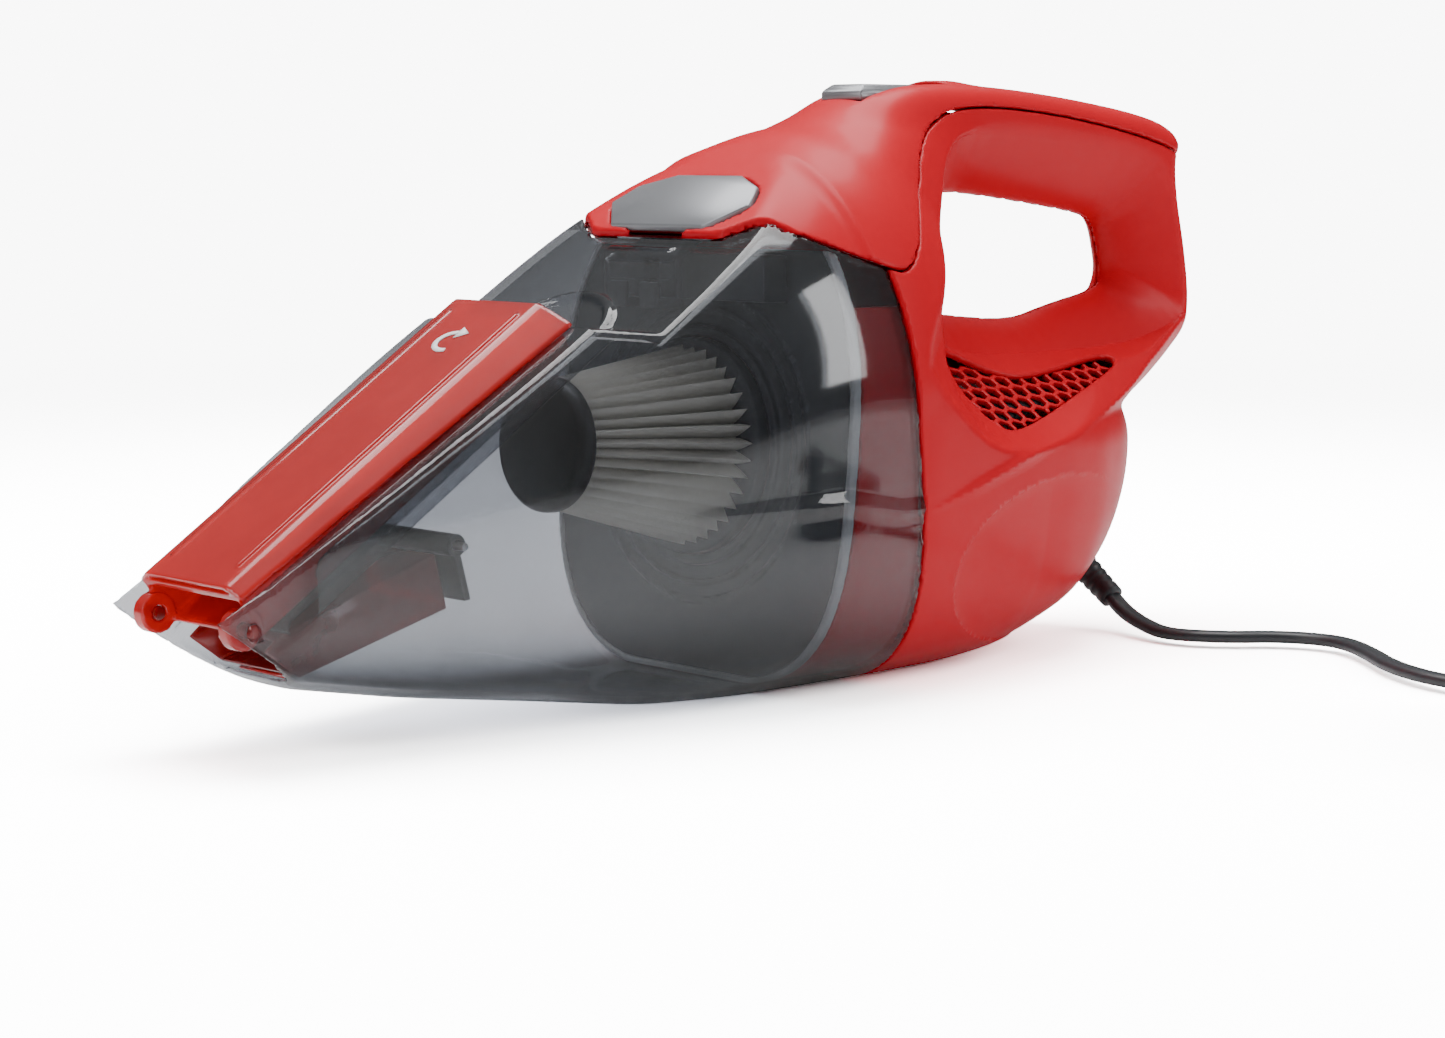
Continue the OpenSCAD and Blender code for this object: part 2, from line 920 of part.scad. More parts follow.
// Half outline of the tool across its length at s, moved in by inset, as Y and Z
function tool_half(s, inset) =
    let (
        share = s / tool_length,
        rim = 24 + 5 * share,
        rim_n = -3 - 3.4 * share)
    [[tool_top_width / 2 - inset / 2, -inset], [rim - inset * 1.2, rim_n - inset * 0.7],
        [23.6 - inset, rim_n - 1.4], [22 - inset, -17.5 + inset]];
function tool_ring(s, inset) =
    let (half = tool_half(s, inset))
    concat([for (p = half) [s, -p[0], p[1]]], [for (i = [3:-1:0]) [s, half[i][0], half[i][1]]]);

module crevice_tool() {
    color(clear_red)
        on_slope()
            difference() {
                union() {
                    difference() {
                        loft([for (s = [0, 40, 84, tool_length]) tool_ring(s, 0)]);
                        loft([for (s = [-1, 40, 84, tool_length + 1]) tool_ring(s, tool_wall)]);
                    }
                    difference() {
                        translate([tool_hinge_s, 0, tool_hinge_n])
                            rotate([90, 0, 0])
                                cylinder(h = 46, r = 5.7, center = true);
                        translate([-20, -18, -30])
                            cube([50, 36, 40]);
                    }
                }
                translate([tool_hinge_s, 0, tool_hinge_n])
                    rotate([90, 0, 0])
                        cylinder(h = 60, r = hinge_pin_d / 2 + 0.25, center = true);
            }
}

module filter_end_cap() {
    color(black)
        turned_part(-filter_length, [[0, 0], [end_cap_radius - 2, 0], [end_cap_radius, 2],
            [end_cap_radius, 6], [0, 6]]);
}

// Folded paper: a star that widens towards the flange
module filter_pleats() {
    outer = 19.2;
    inner = 14.5;
    length = filter_length - 6 - 6.2;
    star = [for (i = [0:2 * pleat_count - 1])
        let (r = i % 2 == 0 ? outer : inner, a = 180 * i / pleat_count)
        [r * cos(a), r * sin(a)]];
    color(warm_grey)
        as_one_mesh()
            on_axis(-filter_length + 6.1)
                difference() {
                    linear_extrude(length, scale = 30.4 / outer)
                        polygon(star);
                    translate([0, 0, -1])
                        cylinder(h = length + 2, r1 = 12.6, r2 = 20.6, $fn = 36);
                }
}

module filter_core() {
    color(charcoal)
        on_axis(-filter_length + 6.1)
            difference() {
                cylinder(h = 51.7, r1 = 12, r2 = 19.8);
                translate([0, 0, -1])
                    cylinder(h = 54, r1 = 9.8, r2 = 17.8);
                for (i = [0:5], z = [5, 22, 38])
                    rotate([0, 0, i * 60])
                        translate([0, -2.4, z])
                            cube([30, 4.8, 10]);
            }
}

module filter_flange() {
    color(charcoal)
        turned_part(-6, [[18.5, 0], [flange_radius, 0], [flange_radius, 5.2], [18.5, 5.2]]);
}

module filter_seal() {
    color(black)
        turned_part(-0.7, [[25.5, 0], [31.5, 0], [31.5, 0.9], [25.5, 0.9]]);
}

// Hexagonal button in the slope of the beak, as distance up the slope and Y
BUTTON = [[190.5, 20.5], [202, 31], [211.5, 26.5], [217.7, 14], [217.7, -14], [211.5, -26.5], [202, -31],
    [190.5, -20.5]];

module button_shape(grow, depth) {
    on_slope()
        translate([0, 0, -16.2 - depth])
            linear_extrude(depth + (grow > 0 ? 9 : 0))
                polygon(shrunk(BUTTON, -grow));
}

module release_button() {
    color(silver)
        button_shape(0, 5.9);
}

// Two hooked tabs under the front of the button
module latch_hook() {
    color(black)
        difference() {
            across([[-33, 132.6], [-24.4, 138.1], [-22, 136], [-30.5, 130.4], [-30.5, 116], [-41, 116],
                [-41, 124], [-39.2, 124], [-39.2, 119], [-33, 119]], 11);
            translate([-50, -3, 100])
                cube([40, 6, 30]);
        }
}

module release_spring() {
    turns = 5;
    steps = turns * 12;
    coil_r = 3.4;
    color(steel)
        on_slope()
            translate([spring_s, 0, -spring_depth])
                tube_along([for (i = [0:steps])
                    [coil_r * cos(30 * i), coil_r * sin(30 * i), 0.5 + 7.6 * i / steps]],
                    function(t) 0.4, 6);
}

module slider_slot() {
    translate([46, -9.6, 178])
        cube([41, 19.2, 12]);
    translate([52, -4, 170])
        cube([24, 8, 20]);
}

module power_slider() {
    color(silver) {
        hull() {
            translate([47, -9, 178.3])
                cube([32, 18, 3]);
            translate([50, -7, 178.3])
                cube([26, 14, 5.2]);
        }
        translate([57, -3, 172])
            cube([8, 6, 7]);
    }
}

// Points of an eased line through a list of points, closer together by steps
function eased_line(points, steps) =
    let (last = len(points) - 1)
    [for (i = [0:last - 1], j = [0:steps - 1])
        let (
            t = j / steps,
            a = points[max(i - 1, 0)],
            b = points[i],
            c = points[i + 1],
            d = points[min(i + 2, last)])
        (2 * b + (c - a) * t + (2 * a - 5 * b + 4 * c - d) * t * t
            + (3 * b - a - 3 * c + d) * t * t * t) / 2];
function cord_line(from, to) = eased_line([for (i = [from:to]) CORD[i]], 2);

// Tube with round sections square to a line; its radius follows the share of the length
module tube_along(line, radius, sides) {
    last = len(line) - 1;
    loft([for (i = [0:last])
        let (
            along = line[min(i + 1, last)] - line[max(i - 1, 0)],
            ahead = along / norm(along),
            side = cross([0, 0, 1], ahead),
            right = side / norm(side),
            up = cross(ahead, right),
            r = radius(i / last))
        [for (k = [0:sides - 1])
            line[i] + r * (cos(360 * k / sides) * right + sin(360 * k / sides) * up)]]);
}

module power_cord() {
    color(black)
        tube_along(cord_line(0, len(CORD) - 1), function(t) cord_low, 8);
}

module cord_coil() {
    color(black)
        translate([coil_x, coil_y, 0])
            rotate_extrude()
                translate([coil_radius - coil_half, 0])
                    square([2 * coil_half, coil_height]);
}

// Band round one side of the coil
module cord_tie() {
    color(charcoal)
        translate([coil_x, coil_y, 0])
            rotate([0, 0, 60])
                translate([coil_radius, 0, 0])
                    difference() {
                        translate([-coil_half - 2, -5, 0])
                            cube([2 * coil_half + 4, 10, coil_height + 1.5]);
                        translate([-coil_half - 0.8, -6, -1])
                            cube([2 * coil_half + 1.6, 12, coil_height + 1.2]);
                    }
}

// Where the cord's end meets the plug, round the coil and out from its middle
plug_angle = -85;
plug_radius = 34;

// Places children at the plug's cord end, X towards its blades, on top of the coil
module on_plug() {
    translate([coil_x, coil_y, coil_height])
        rotate([0, 0, plug_angle])
            translate([plug_radius, 0, 0])
                rotate([0, 0, -90])
                    children();
}

module plug_body() {
    color(black)
        on_plug()
            hull() {
                translate([14, -9, 0.3])
                    cube([20, 18, 12]);
                translate([0, -4.5, 2.2])
                    cube([2, 9, 8]);
            }
}

module plug_blades() {
    color(silver)
        on_plug()
            for (y = [-6.35, 6.35])
                translate([34.1, y - 0.75, 3.1])
                    cube([17, 1.5, 6.4]);
}

left_housing();
right_housing();
top_cover();
left_exhaust_grille();
right_exhaust_grille();
left_exhaust_foam();
right_exhaust_foam();
bulkhead();
cup_seal();
fan_shroud();
motor_can();
stator_core();
field_windings();
front_bearing();
rear_bearing();
front_motor_mount();
rear_motor_mount();
brush_holders();
carbon_brushes();
brush_springs();
switch_module();
cord_strain_relief();
cord_clamp();
housing_screws();
motor_shaft();
armature();
commutator();
fan_impeller();
dust_cup();
catch_bar();
inlet_duct();
nozzle_lip();
tool_clip();
tool_hinge_pins();
flap_hinge_pin();
crevice_tool();
inlet_flap();
filter_end_cap();
filter_pleats();
filter_core();
filter_flange();
filter_seal();
release_button();
latch_hook();
release_spring();
power_slider();
power_cord();
cord_coil();
cord_tie();
plug_body();
plug_blades();
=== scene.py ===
"""Looks of a corded handheld vacuum, built as an add-on round its CAD frame.

The frame gives the bodies, the CAD nodes and the record. Lengths below are in millimetres until a
mesh is made; X runs from the nozzle to the rear of the handle, Z is up and Z = 0 is the floor.
Moulded shells are the zero level of distance fields, so that their blends and edges stay smooth.
"""

import math

import bpy
import numpy as np
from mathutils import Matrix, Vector


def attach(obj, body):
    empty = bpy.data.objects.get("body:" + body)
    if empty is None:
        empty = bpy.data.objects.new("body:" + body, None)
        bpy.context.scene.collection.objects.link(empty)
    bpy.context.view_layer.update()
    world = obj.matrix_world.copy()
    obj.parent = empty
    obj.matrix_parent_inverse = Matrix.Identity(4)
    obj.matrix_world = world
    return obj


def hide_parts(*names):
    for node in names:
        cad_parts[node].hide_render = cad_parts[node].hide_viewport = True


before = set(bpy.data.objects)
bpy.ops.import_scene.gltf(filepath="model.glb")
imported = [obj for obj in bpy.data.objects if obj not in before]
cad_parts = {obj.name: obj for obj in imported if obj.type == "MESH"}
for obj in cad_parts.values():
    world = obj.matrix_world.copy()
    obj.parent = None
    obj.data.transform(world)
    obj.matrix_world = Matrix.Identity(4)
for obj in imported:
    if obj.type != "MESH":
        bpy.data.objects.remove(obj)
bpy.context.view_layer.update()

bl_info = {
    "name": "Handheld vacuum",
    "version": (1, 0, 0),
    "blender": (4, 5, 0),
    "location": "View3D > Sidebar > Vacuum",
    "description": "Builds the casings, cup, filter, tool, cord and stage of a handheld vacuum",
    "category": "Add Mesh",
}

MM = 0.001

# Camera
EYE = Vector((-0.6369, -0.6787, 0.1633))
LOOK = Vector((0.6769, 0.7259, -0.1219))

# Pod: X, half width, height of the widest level, top, bottom, roundness of the top and the bottom
POD = (
    (-207, 25.7, 37, 62, 25, 5, 3),
    (-173, 31, 42, 80, 17.5, 4, 3),
    (-140, 39, 46, 98, 11.5, 3.2, 3.1),
    (-100, 50, 56, 121, 6, 2.7, 3.2),
    (-60, 61, 68, 139, 0.2, 2.4, 3.3),
    (-30, 67.5, 80, 152, -1.1, 2.3, 3.3),
    (-10, 69, 84, 160, -1.3, 2.2, 3.3),
    (18, 69, 85, 168, -1.3, 2, 3.3),
    (40, 66, 80, 160, -1.3, 2, 3.3),
    (60, 63, 75, 140, -1.1, 2, 3.3),
    (80, 59.5, 70, 115, 0.3, 2, 3.3),
    (100, 55.5, 68, 108, 4, 2, 3.2),
    (120, 50, 66, 105, 9, 2, 3),
    (140, 41, 66, 100, 20, 2, 2.6),
    (155, 31, 66, 90, 34, 2, 2.3),
    (164, 21, 66, 80, 49, 2, 2.1),
    (171, 5, 66, 70, 62, 2, 2),
)
# Crest that runs from the handle's rear corner down to the seam
SKIRT = (
    (17, 67, 56, 90, 20, 1.2, 1.25),
    (42, 66.3, 61.8, 95, 26, 1.2, 1.25),
    (70, 62.2, 68.7, 100, 33, 1.2, 1.25),
    (105, 52.4, 75, 104, 42, 1.2, 1.3),
    (118, 47.8, 77.2, 106, 47, 1.2, 1.3),
    (136, 41.4, 80.8, 108, 54, 1.2, 1.3),
    (150, 36, 84.7, 110, 60, 1.2, 1.3),
    (168, 29, 91.9, 114, 68, 1.3, 1.3),
    (182, 23.8, 97, 118, 76, 1.4, 1.4),
    (201, 18, 110, 122, 96, 2, 2),
)
NECK = (
    (8, 66, 95, 163, 60, 2, 2),
    (18, 65, 95, 168, 60, 2, 2),
    (30, 58, 100, 172, 60, 2.1, 2),
    (45, 46, 105, 178, 62, 2.2, 2),
    (60, 36, 110, 181.5, 64, 2.3, 2),
    (76, 28, 115, 183.3, 66, 2.3, 2),
    (100, 19, 120, 183.5, 68, 2.4, 2),
)
# Side outlines, as X and Z
HANDLE = (
    (34, 120), (34, 160), (46, 177), (60, 181.3), (72, 183), (98, 183.7), (122, 182.2), (148, 179.6),
    (174, 176.2), (190, 173), (198, 169.5), (201, 164.5), (198.5, 158), (200, 146), (204, 131), (207, 115),
    (206.2, 104), (202, 97), (190, 88), (173, 81), (150, 77), (110, 75), (70, 80), (46, 96),
)
GAP_MIDDLE = (
    (74, 132), (77, 147), (98, 149.5), (158, 142), (169, 139), (174, 121), (172, 115), (149, 111),
    (128, 106), (94, 109), (76, 112),
)
GAP_SIDE = (
    (66, 132), (74, 164), (101, 171.5), (178, 163.5), (195, 149), (203, 114), (198, 104.5), (168, 97),
    (128, 96), (85, 97), (68, 105),
)
GAP_FLARE = (
    (47, 100), (45, 133), (60, 170), (101, 192), (196, 192), (216, 180), (216, 113), (214, 101),
    (170, 88), (128, 82), (86, 78), (56, 82),
)
GAP_FAR = (
    (8, 92), (8.5, 107), (13, 118), (22, 131), (38, 165), (60, 205), (101, 212), (214, 212),
    (232, 196), (232, 113), (230, 90), (170, 72), (128, 64.5), (88, 60.5), (48, 64),
)
HANDLE_HALF = 18
FLARE_HALF = 45
PARTING = (
    (-35.3, 134), (-20, 139), (-9, 134), (10, 127.3), (14, 127), (20, 130), (27, 136), (34, 143),
    (46, 154), (54.5, 163), (65.5, 170), (78, 175), (93, 176.5), (111, 176), (133, 174), (155, 171),
    (182, 166), (201, 160), (215, 158),
)
BEAK = ((-35, 24), (-20, 48), (-9, 57), (16, 62), (16, 90))
# Vent field on the slope under the finger gap, as X and distance from the middle
VENT = (
    (76, 17), (96, 28.5), (112, 28.5), (150, 22), (152, 27), (134, 34), (106, 43), (75, 52), (68, 51.5),
    (66.5, 45), (63, 35), (67, 26),
)
VENT_SLOPE = math.radians(30.1)
VENT_TOP = 107
# Button, as distance up the slope and Y
BUTTON = (
    (190.5, 20.5), (202, 31), (211.5, 26.5), (217.7, 14), (217.7, -14), (211.5, -26.5), (202, -31),
    (190.5, -20.5),
)

SLOPE = math.radians(33.3)
SLOPE_X, SLOPE_Z = -200, 49.5
CUP_DEPTH = 19
BEAK_DEPTH = 17.2
FIN_INSIDE = 24.7
FIN_END = 136
SEAM_X = 20
SEAM_LEAN = 0.1
HINGE_S, HINGE_N = -3, -11.8
AXIS_X, AXIS_Z = -14, 73
AXIS_TILT = math.radians(4)

# Dish in each rear flank: middle, half length, half height and depth
DISH_X, DISH_Z = 92, 33.5
DISH_LONG, DISH_HIGH = 58, 27
DISH_DEPTH = 2.4
# Slanted mouth: a point on it and the direction out of it
MOUTH_X, MOUTH_Z = -207, 41
MOUTH_OUT = (23.5, 34)
# Holes and screws
SCREWS = ((26, 13), (112, 22), (196, 122), (50, 146), (118, 170))
SCREW_FLOOR = 10
SCREW_RADIUS = 2.9
CORD_EXIT_X, CORD_EXIT_Z = 150, 30
CORD_EXIT_RADIUS = 9
CUP_BORE = 2.1
TOOL_BORE = 2.25
EAR_RADIUS = 5.6
TOOL_SWEEP = 13
# Tool's recess at its wide end: distance up the slope, radius, and thickness of its rim
RECESS_S, RECESS_RADIUS, RECESS_RIM = 134, 23, 1.7
SLIDER_X, SLIDER_FLOOR = 66.5, 178
SLIDER_HALF = (20.5, 9.6)
VENT_PITCH, VENT_WIDTH = 6.6, 4.95
FILTER_COLLAR = 35
FILTER_HOLE = 25
BEADS = (42, 47.5)
SHELL_STEP = 1.15

# Cord: route on the floor, then the coil, as in the CAD
CORD_WIDTH = 6.6
LOW = CORD_WIDTH / 2
ROUTE = (
    (149, -1, 29.5), (152.5, -4.5, 26.5), (156, -9.5, 21.5), (157.8, -15, 16), (157.2, -22.5, 11),
    (154.5, -31, 7), (150.5, -42, 4.6), (148, -53, LOW), (150, -64, LOW), (157, -74, LOW),
    (166, -82, LOW), (172, -91, LOW), (174, -102, LOW), (170, -113, LOW), (161, -126, LOW),
    (150, -140, LOW), (142, -154, LOW), (138, -168, LOW), (138, -184, LOW), (143, -201, LOW),
    (151, -216, LOW), (157.5, -231, LOW), (160, -244, LOW),
)
COIL_X, COIL_Y = 110, -262
COIL_ACROSS = 4
PLUG_ANGLE = math.radians(-85)
PLUG_RADIUS = 34

# Stage
BACKDROP = 9.0
FLOOR_SEEN = 7.0


# ---------------------------------------------------------------- curves and outlines


def eased_rows(rows, spread=5.0):
    """For a station table, a function of X that gives every column, smoothed along X."""
    xs = np.arange(rows[0][0] - 60, rows[-1][0] + 61, 1.0)
    offsets = np.arange(-20, 21)
    weights = np.exp(-0.5 * (offsets / spread) ** 2)
    weights /= weights.sum()
    columns = []
    for c in range(1, len(rows[0])):
        line = np.interp(xs, [r[0] for r in rows], [r[c] for r in rows])
        columns.append(np.convolve(np.pad(line, 20, mode="edge"), weights, "valid"))
    return lambda x: [np.interp(x, xs, column) for column in columns]


def cut_corners(points, passes=2, share=0.22):
    """A closed outline with its corners cut a few times, so that it is round."""
    line = np.array(points, float)
    for _ in range(passes):
        ahead = np.roll(line, -1, axis=0)
        near, far = line * (1 - share) + ahead * share, line * share + ahead * (1 - share)
        line = np.stack([near, far], 1).reshape(-1, 2)
    return line


class Outline:
    """Signed distance to a closed outline in a plane, looked up from a grid; negative inside."""

    def __init__(self, points, passes=2, margin=60, step=1.0):
        line = cut_corners(points, passes)
        self.low = line.min(0) - margin
        self.step = step
        high = line.max(0) + margin
        self.count = np.ceil((high - self.low) / step).astype(int) + 1
        u = self.low[0] + step * np.arange(self.count[0])[:, None]
        v = self.low[1] + step * np.arange(self.count[1])[None, :]
        best = np.full((self.count[0], self.count[1]), 1e9)
        inside = np.zeros(best.shape, bool)
        for a, b in zip(line, np.roll(line, -1, axis=0)):
            d = b - a
            t = np.clip(((u - a[0]) * d[0] + (v - a[1]) * d[1]) / max(d @ d, 1e-9), 0, 1)
            best = np.minimum(best, (u - a[0] - t * d[0]) ** 2 + (v - a[1] - t * d[1]) ** 2)
            crosses = (a[1] > v) != (b[1] > v)
            if a[1] != b[1]:
                inside ^= crosses & (u < a[0] + (v - a[1]) / (b[1] - a[1]) * d[0])
        self.grid = np.sqrt(best) * np.where(inside, -1, 1)

    def __call__(self, u, v):
        p = np.clip((u - self.low[0]) / self.step, 0, self.count[0] - 1.001)
        q = np.clip((v - self.low[1]) / self.step, 0, self.count[1] - 1.001)
        i, j = np.floor(p).astype(int), np.floor(q).astype(int)
        p, q = p - i, q - j
        g = self.grid
        lower = g[i, j] * (1 - p) + g[i + 1, j] * p
        upper = g[i, j + 1] * (1 - p) + g[i + 1, j + 1] * p
        return lower * (1 - q) + upper * q


def spline(points, per_span):
    """Points of a smooth open line through a list of points."""
    p = np.array(points, float)
    padded = np.vstack([2 * p[0] - p[1], p, 2 * p[-1] - p[-2]])
    out = []
    for i in range(len(p) - 1):
        a, b, c, d = padded[i : i + 4]
        for t in np.arange(per_span) / per_span:
            bend, twist = 2 * a - 5 * b + 4 * c - d, 3 * b - a - 3 * c + d
            out.append(0.5 * (2 * b + (c - a) * t + bend * t**2 + twist * t**3))
    return np.array(out + [p[-1]])


# ---------------------------------------------------------------- distance fields


def smooth_min(a, b, k):
    """The smaller of two fields, blended over k millimetres."""
    h = np.clip(0.5 + 0.5 * (b - a) / k, 0, 1)
    return b + (a - b) * h - k * h * (1 - h)


def smooth_max(a, b, k):
    """The larger of two fields, blended over k millimetres."""
    return -smooth_min(-a, -b, k)


def shell_of(field, wall, k=0.6):
    """The skin of a field, wall thick, on its inner side."""
    return smooth_max(field, -(field + wall), k)


def slope_frame(x, z):
    """Distance up the slope and height out of it."""
    dx, dz = x - SLOPE_X, z - SLOPE_Z
    return dx * math.cos(SLOPE) + dz * math.sin(SLOPE), dz * math.cos(SLOPE) - dx * math.sin(SLOPE)


def axis_depth(x, z):
    """Distance along the motor's axis, from the bulkhead's front face towards the rear."""
    return (x - AXIS_X) * math.cos(AXIS_TILT) - (z - AXIS_Z) * math.sin(AXIS_TILT)


def axis_radius(x, y, z):
    """Distance from the motor's axis."""
    across = (x - AXIS_X) * math.sin(AXIS_TILT) + (z - AXIS_Z) * math.cos(AXIS_TILT)
    return np.sqrt(across**2 + y**2)


def screw_hole(x, z, centre, radius):
    """Hole along Y round a centre in X and Z."""
    return np.sqrt((x - centre[0]) ** 2 + (z - centre[1]) ** 2) - radius


def block(x, y, z, centre, half):
    """Plain block about a centre in X and Z, from its half sizes."""
    across = np.maximum(np.abs(x - centre[0]) - half[0], np.abs(y) - half[1])
    return np.maximum(across, np.abs(z - centre[1]) - half[2])


class Shapes:
    """The outlines and station tables, made once, and the fields that use them."""

    def __init__(self, wall, cup_wall):
        self.wall = wall
        self.cup_wall = cup_wall
        self.pod_at = eased_rows(POD)
        self.neck_at = eased_rows(NECK)
        self.skirt_at = eased_rows(SKIRT, 3.0)
        self.handle = Outline(HANDLE)
        self.gaps = [Outline(o) for o in (GAP_MIDDLE, GAP_SIDE, GAP_FLARE, GAP_FAR)]
        top = [(215, 240), (PARTING[0][0], 240)]
        self.cover_side = Outline(list(PARTING) + top, passes=1, margin=80)
        self.beak = Outline(list(BEAK) + [(16, 300), (400, 300), (400, -300), (16, -300)]
                            + [(x, -y) for x, y in reversed(BEAK)], passes=1, margin=20)
        self.vent = Outline([(x, y / math.cos(VENT_SLOPE)) for x, y in VENT], passes=2, step=0.5)
        self.button = Outline(BUTTON, passes=1, step=0.5)

    def loft(self, at, x, y, z):
        """Body of superellipse sections, near to its true distance."""
        half, middle, top, bottom, round_up, round_down = at(x)
        upper = z > middle
        height = np.where(upper, top - middle, middle - bottom)
        n = np.where(upper, round_up, round_down)
        a, b = np.abs(y) / half, np.abs(z - middle) / height
        r = (a**n + b**n) ** (1 / n) + 1e-6
        return (1 - 1 / r) * np.sqrt(y**2 + (z - middle) ** 2 + 1e-6)

    def pod(self, x, y, z):
        """Round lower body on its flat belly, with the shallow dish in each rear flank."""
        found = smooth_max(self.loft(self.pod_at, x, y, z), x - POD[-1][0], 2)
        round_dish = ((x - DISH_X) / DISH_LONG) ** 2 + ((z - DISH_Z) / DISH_HIGH) ** 2
        fade = np.clip((135 - x) / 50, 0, 1)
        sideways = np.clip(np.abs(y) / 30 - 0.3, 0, 1)
        found = found + DISH_DEPTH * fade * np.sqrt(np.clip(1 - round_dish, 0, 1)) * sideways
        return smooth_max(found, -z + 0 * y, 0.8)

    def gap(self, x, y, z):
        """Finger gap with its flared rims; negative inside it."""
        side = np.abs(y)
        stops = (0, HANDLE_HALF, FLARE_HALF, 75)
        levels = [g(x, z) for g in self.gaps]
        t = np.clip(side / stops[1], 0, 1)
        found = levels[0] + (levels[1] - levels[0]) * t**1.5
        lean = (levels[1] - levels[0]) * 1.5 * np.sqrt(t) / stops[1] * (t < 1)
        for i in (1, 2):
            span = stops[i + 1] - stops[i]
            t = np.clip((side - stops[i]) / span, 0, 1)
            found = found + (levels[i + 1] - levels[i]) * t
            lean = lean + (levels[i + 1] - levels[i]) / span * ((t > 0) & (t < 1))
        return found / np.sqrt(1 + lean**2)

    def body(self, x, y, z):
        """Outer shape of the housings and the cover together."""
        neck = smooth_max(smooth_max(self.loft(self.neck_at, x, y, z), x - 98, 6), 4 - x, 2)
        around = 9
        flat = self.handle(x, z) + around
        beyond = np.abs(y) - HANDLE_HALF + around
        handle = np.sqrt(np.maximum(flat, 0) ** 2 + np.maximum(beyond, 0) ** 2)
        handle = handle + np.minimum(np.maximum(flat, beyond), 0) - around
        skirt = self.loft(self.skirt_at, x, y, z)
        skirt = smooth_max(smooth_max(skirt, x - SKIRT[-1][0], 3), SKIRT[0][0] - x, 2)
        found = smooth_min(self.pod(x, y, z), neck, 8)
        found = smooth_min(found, handle, 7)
        found = smooth_min(found, skirt, 2.5)
        found = smooth_max(found, slope_frame(x, z)[1] + BEAK_DEPTH, 2)
        return smooth_max(found, -self.gap(x, y, z), 1.4)

    def cover(self, x, y, z):
        """Region of the cover: above the parting line and inside the beak's outline."""
        return smooth_max(self.cover_side(x, z) + 0 * y, self.beak(x, y) + 0 * z, 0.5)

    def seam(self, x, z):
        """Positive behind the seam between cup and housings."""
        return x - SEAM_X + SEAM_LEAN * z

    def vent_plane(self, x, y, z):
        """Height out of the vents' slope, and the place on it as X and distance down the slope."""
        side = np.abs(y)
        up = (z - VENT_TOP) * math.cos(VENT_SLOPE) + side * math.sin(VENT_SLOPE)
        down = side * math.cos(VENT_SLOPE) - (z - VENT_TOP) * math.sin(VENT_SLOPE)
        return up, down

    def left_housing(self, x, y, z, heads=False):
        """Left housing: skin, collar under the cup's rim, vent window and cord hole."""
        skin = shell_of(self.body(x, y, z), self.wall)
        skin = smooth_max(skin, -self.cover(x, y, z) + 0.35, 0.5)
        skin = smooth_max(skin, -self.seam(x, z) + 0.3 + 0 * y, 0.5)
        pod = self.pod(x, y, z)
        collar = shell_of(pod + self.wall + 0.5, self.wall)
        collar = smooth_max(collar, 3.4 - axis_depth(x, z) + 0 * y, 0.5)
        collar = smooth_max(collar, smooth_max(self.seam(x, z) - 6, z - 117, 0.5) + 0 * y, 0.5)
        found = smooth_min(skin, collar, 0.6)
        up, down = self.vent_plane(x, y, z)
        window = smooth_max(self.vent(x, down), np.abs(up + 1) - 8, 0.5)
        found = smooth_max(found, -window, 1.2)
        exit_hole = np.sqrt((x - CORD_EXIT_X) ** 2 * 0.6 + y**2 + (z - CORD_EXIT_Z) ** 2)
        exit_hole = exit_hole - CORD_EXIT_RADIUS
        found = smooth_max(found, -exit_hole, 0.6)
        if heads:
            for centre in SCREWS:
                sunk = smooth_max(screw_hole(x, z, centre, SCREW_RADIUS), SCREW_FLOOR - np.abs(y), 0.3)
                found = smooth_max(found, -sunk, 0.5)
        return smooth_max(found, y + 0.12 + 0 * x, 0.4)

    def right_housing(self, x, y, z):
        """Right housing: the left one mirrored, with the sunk screw heads."""
        return self.left_housing(x, -y, z, heads=True)

    def top_cover(self, x, y, z):
        """Cover with the pocket of the button and the recess of the slider."""
        skin = shell_of(self.body(x, y, z), self.wall)
        found = smooth_max(skin, self.cover(x, y, z) + 0.35, 0.5)
        s, n = slope_frame(x, z)
        pocket = smooth_max(self.button(s, y) - 0.5, -(n + 23) + 0 * y, 0.4)
        found = smooth_max(found, -pocket, 0.8)
        recess = np.maximum(np.abs(x - SLIDER_X) - SLIDER_HALF[0], np.abs(y) - SLIDER_HALF[1])
        recess = np.maximum(recess, SLIDER_FLOOR - z)
        return smooth_max(found, -recess, 1.0)

    def cup_limits(self, x, y, z, inset):
        """Below the slope, or in the two fins beside the tool."""
        s, n = slope_frame(x, z)
        side = np.abs(y)
        fin_top = np.interp(s, (-10, 6, 128, FIN_END + 6), (-3.5, -5.1, -7.6, -CUP_DEPTH))
        fin = smooth_max(n - fin_top + inset + 0 * y, FIN_INSIDE + inset - side, 0.8)
        fin = smooth_max(fin, s - FIN_END - 6 + inset + 0 * y, 1.5)
        return smooth_min(n + CUP_DEPTH + inset + 0 * y, fin, 2.0)

    def mouth(self, x, z):
        """Negative in front of and below the slanted mouth."""
        dx, dz = x - MOUTH_X, z - MOUTH_Z
        return (dx * MOUTH_OUT[0] + dz * MOUTH_OUT[1]) / math.hypot(*MOUTH_OUT)

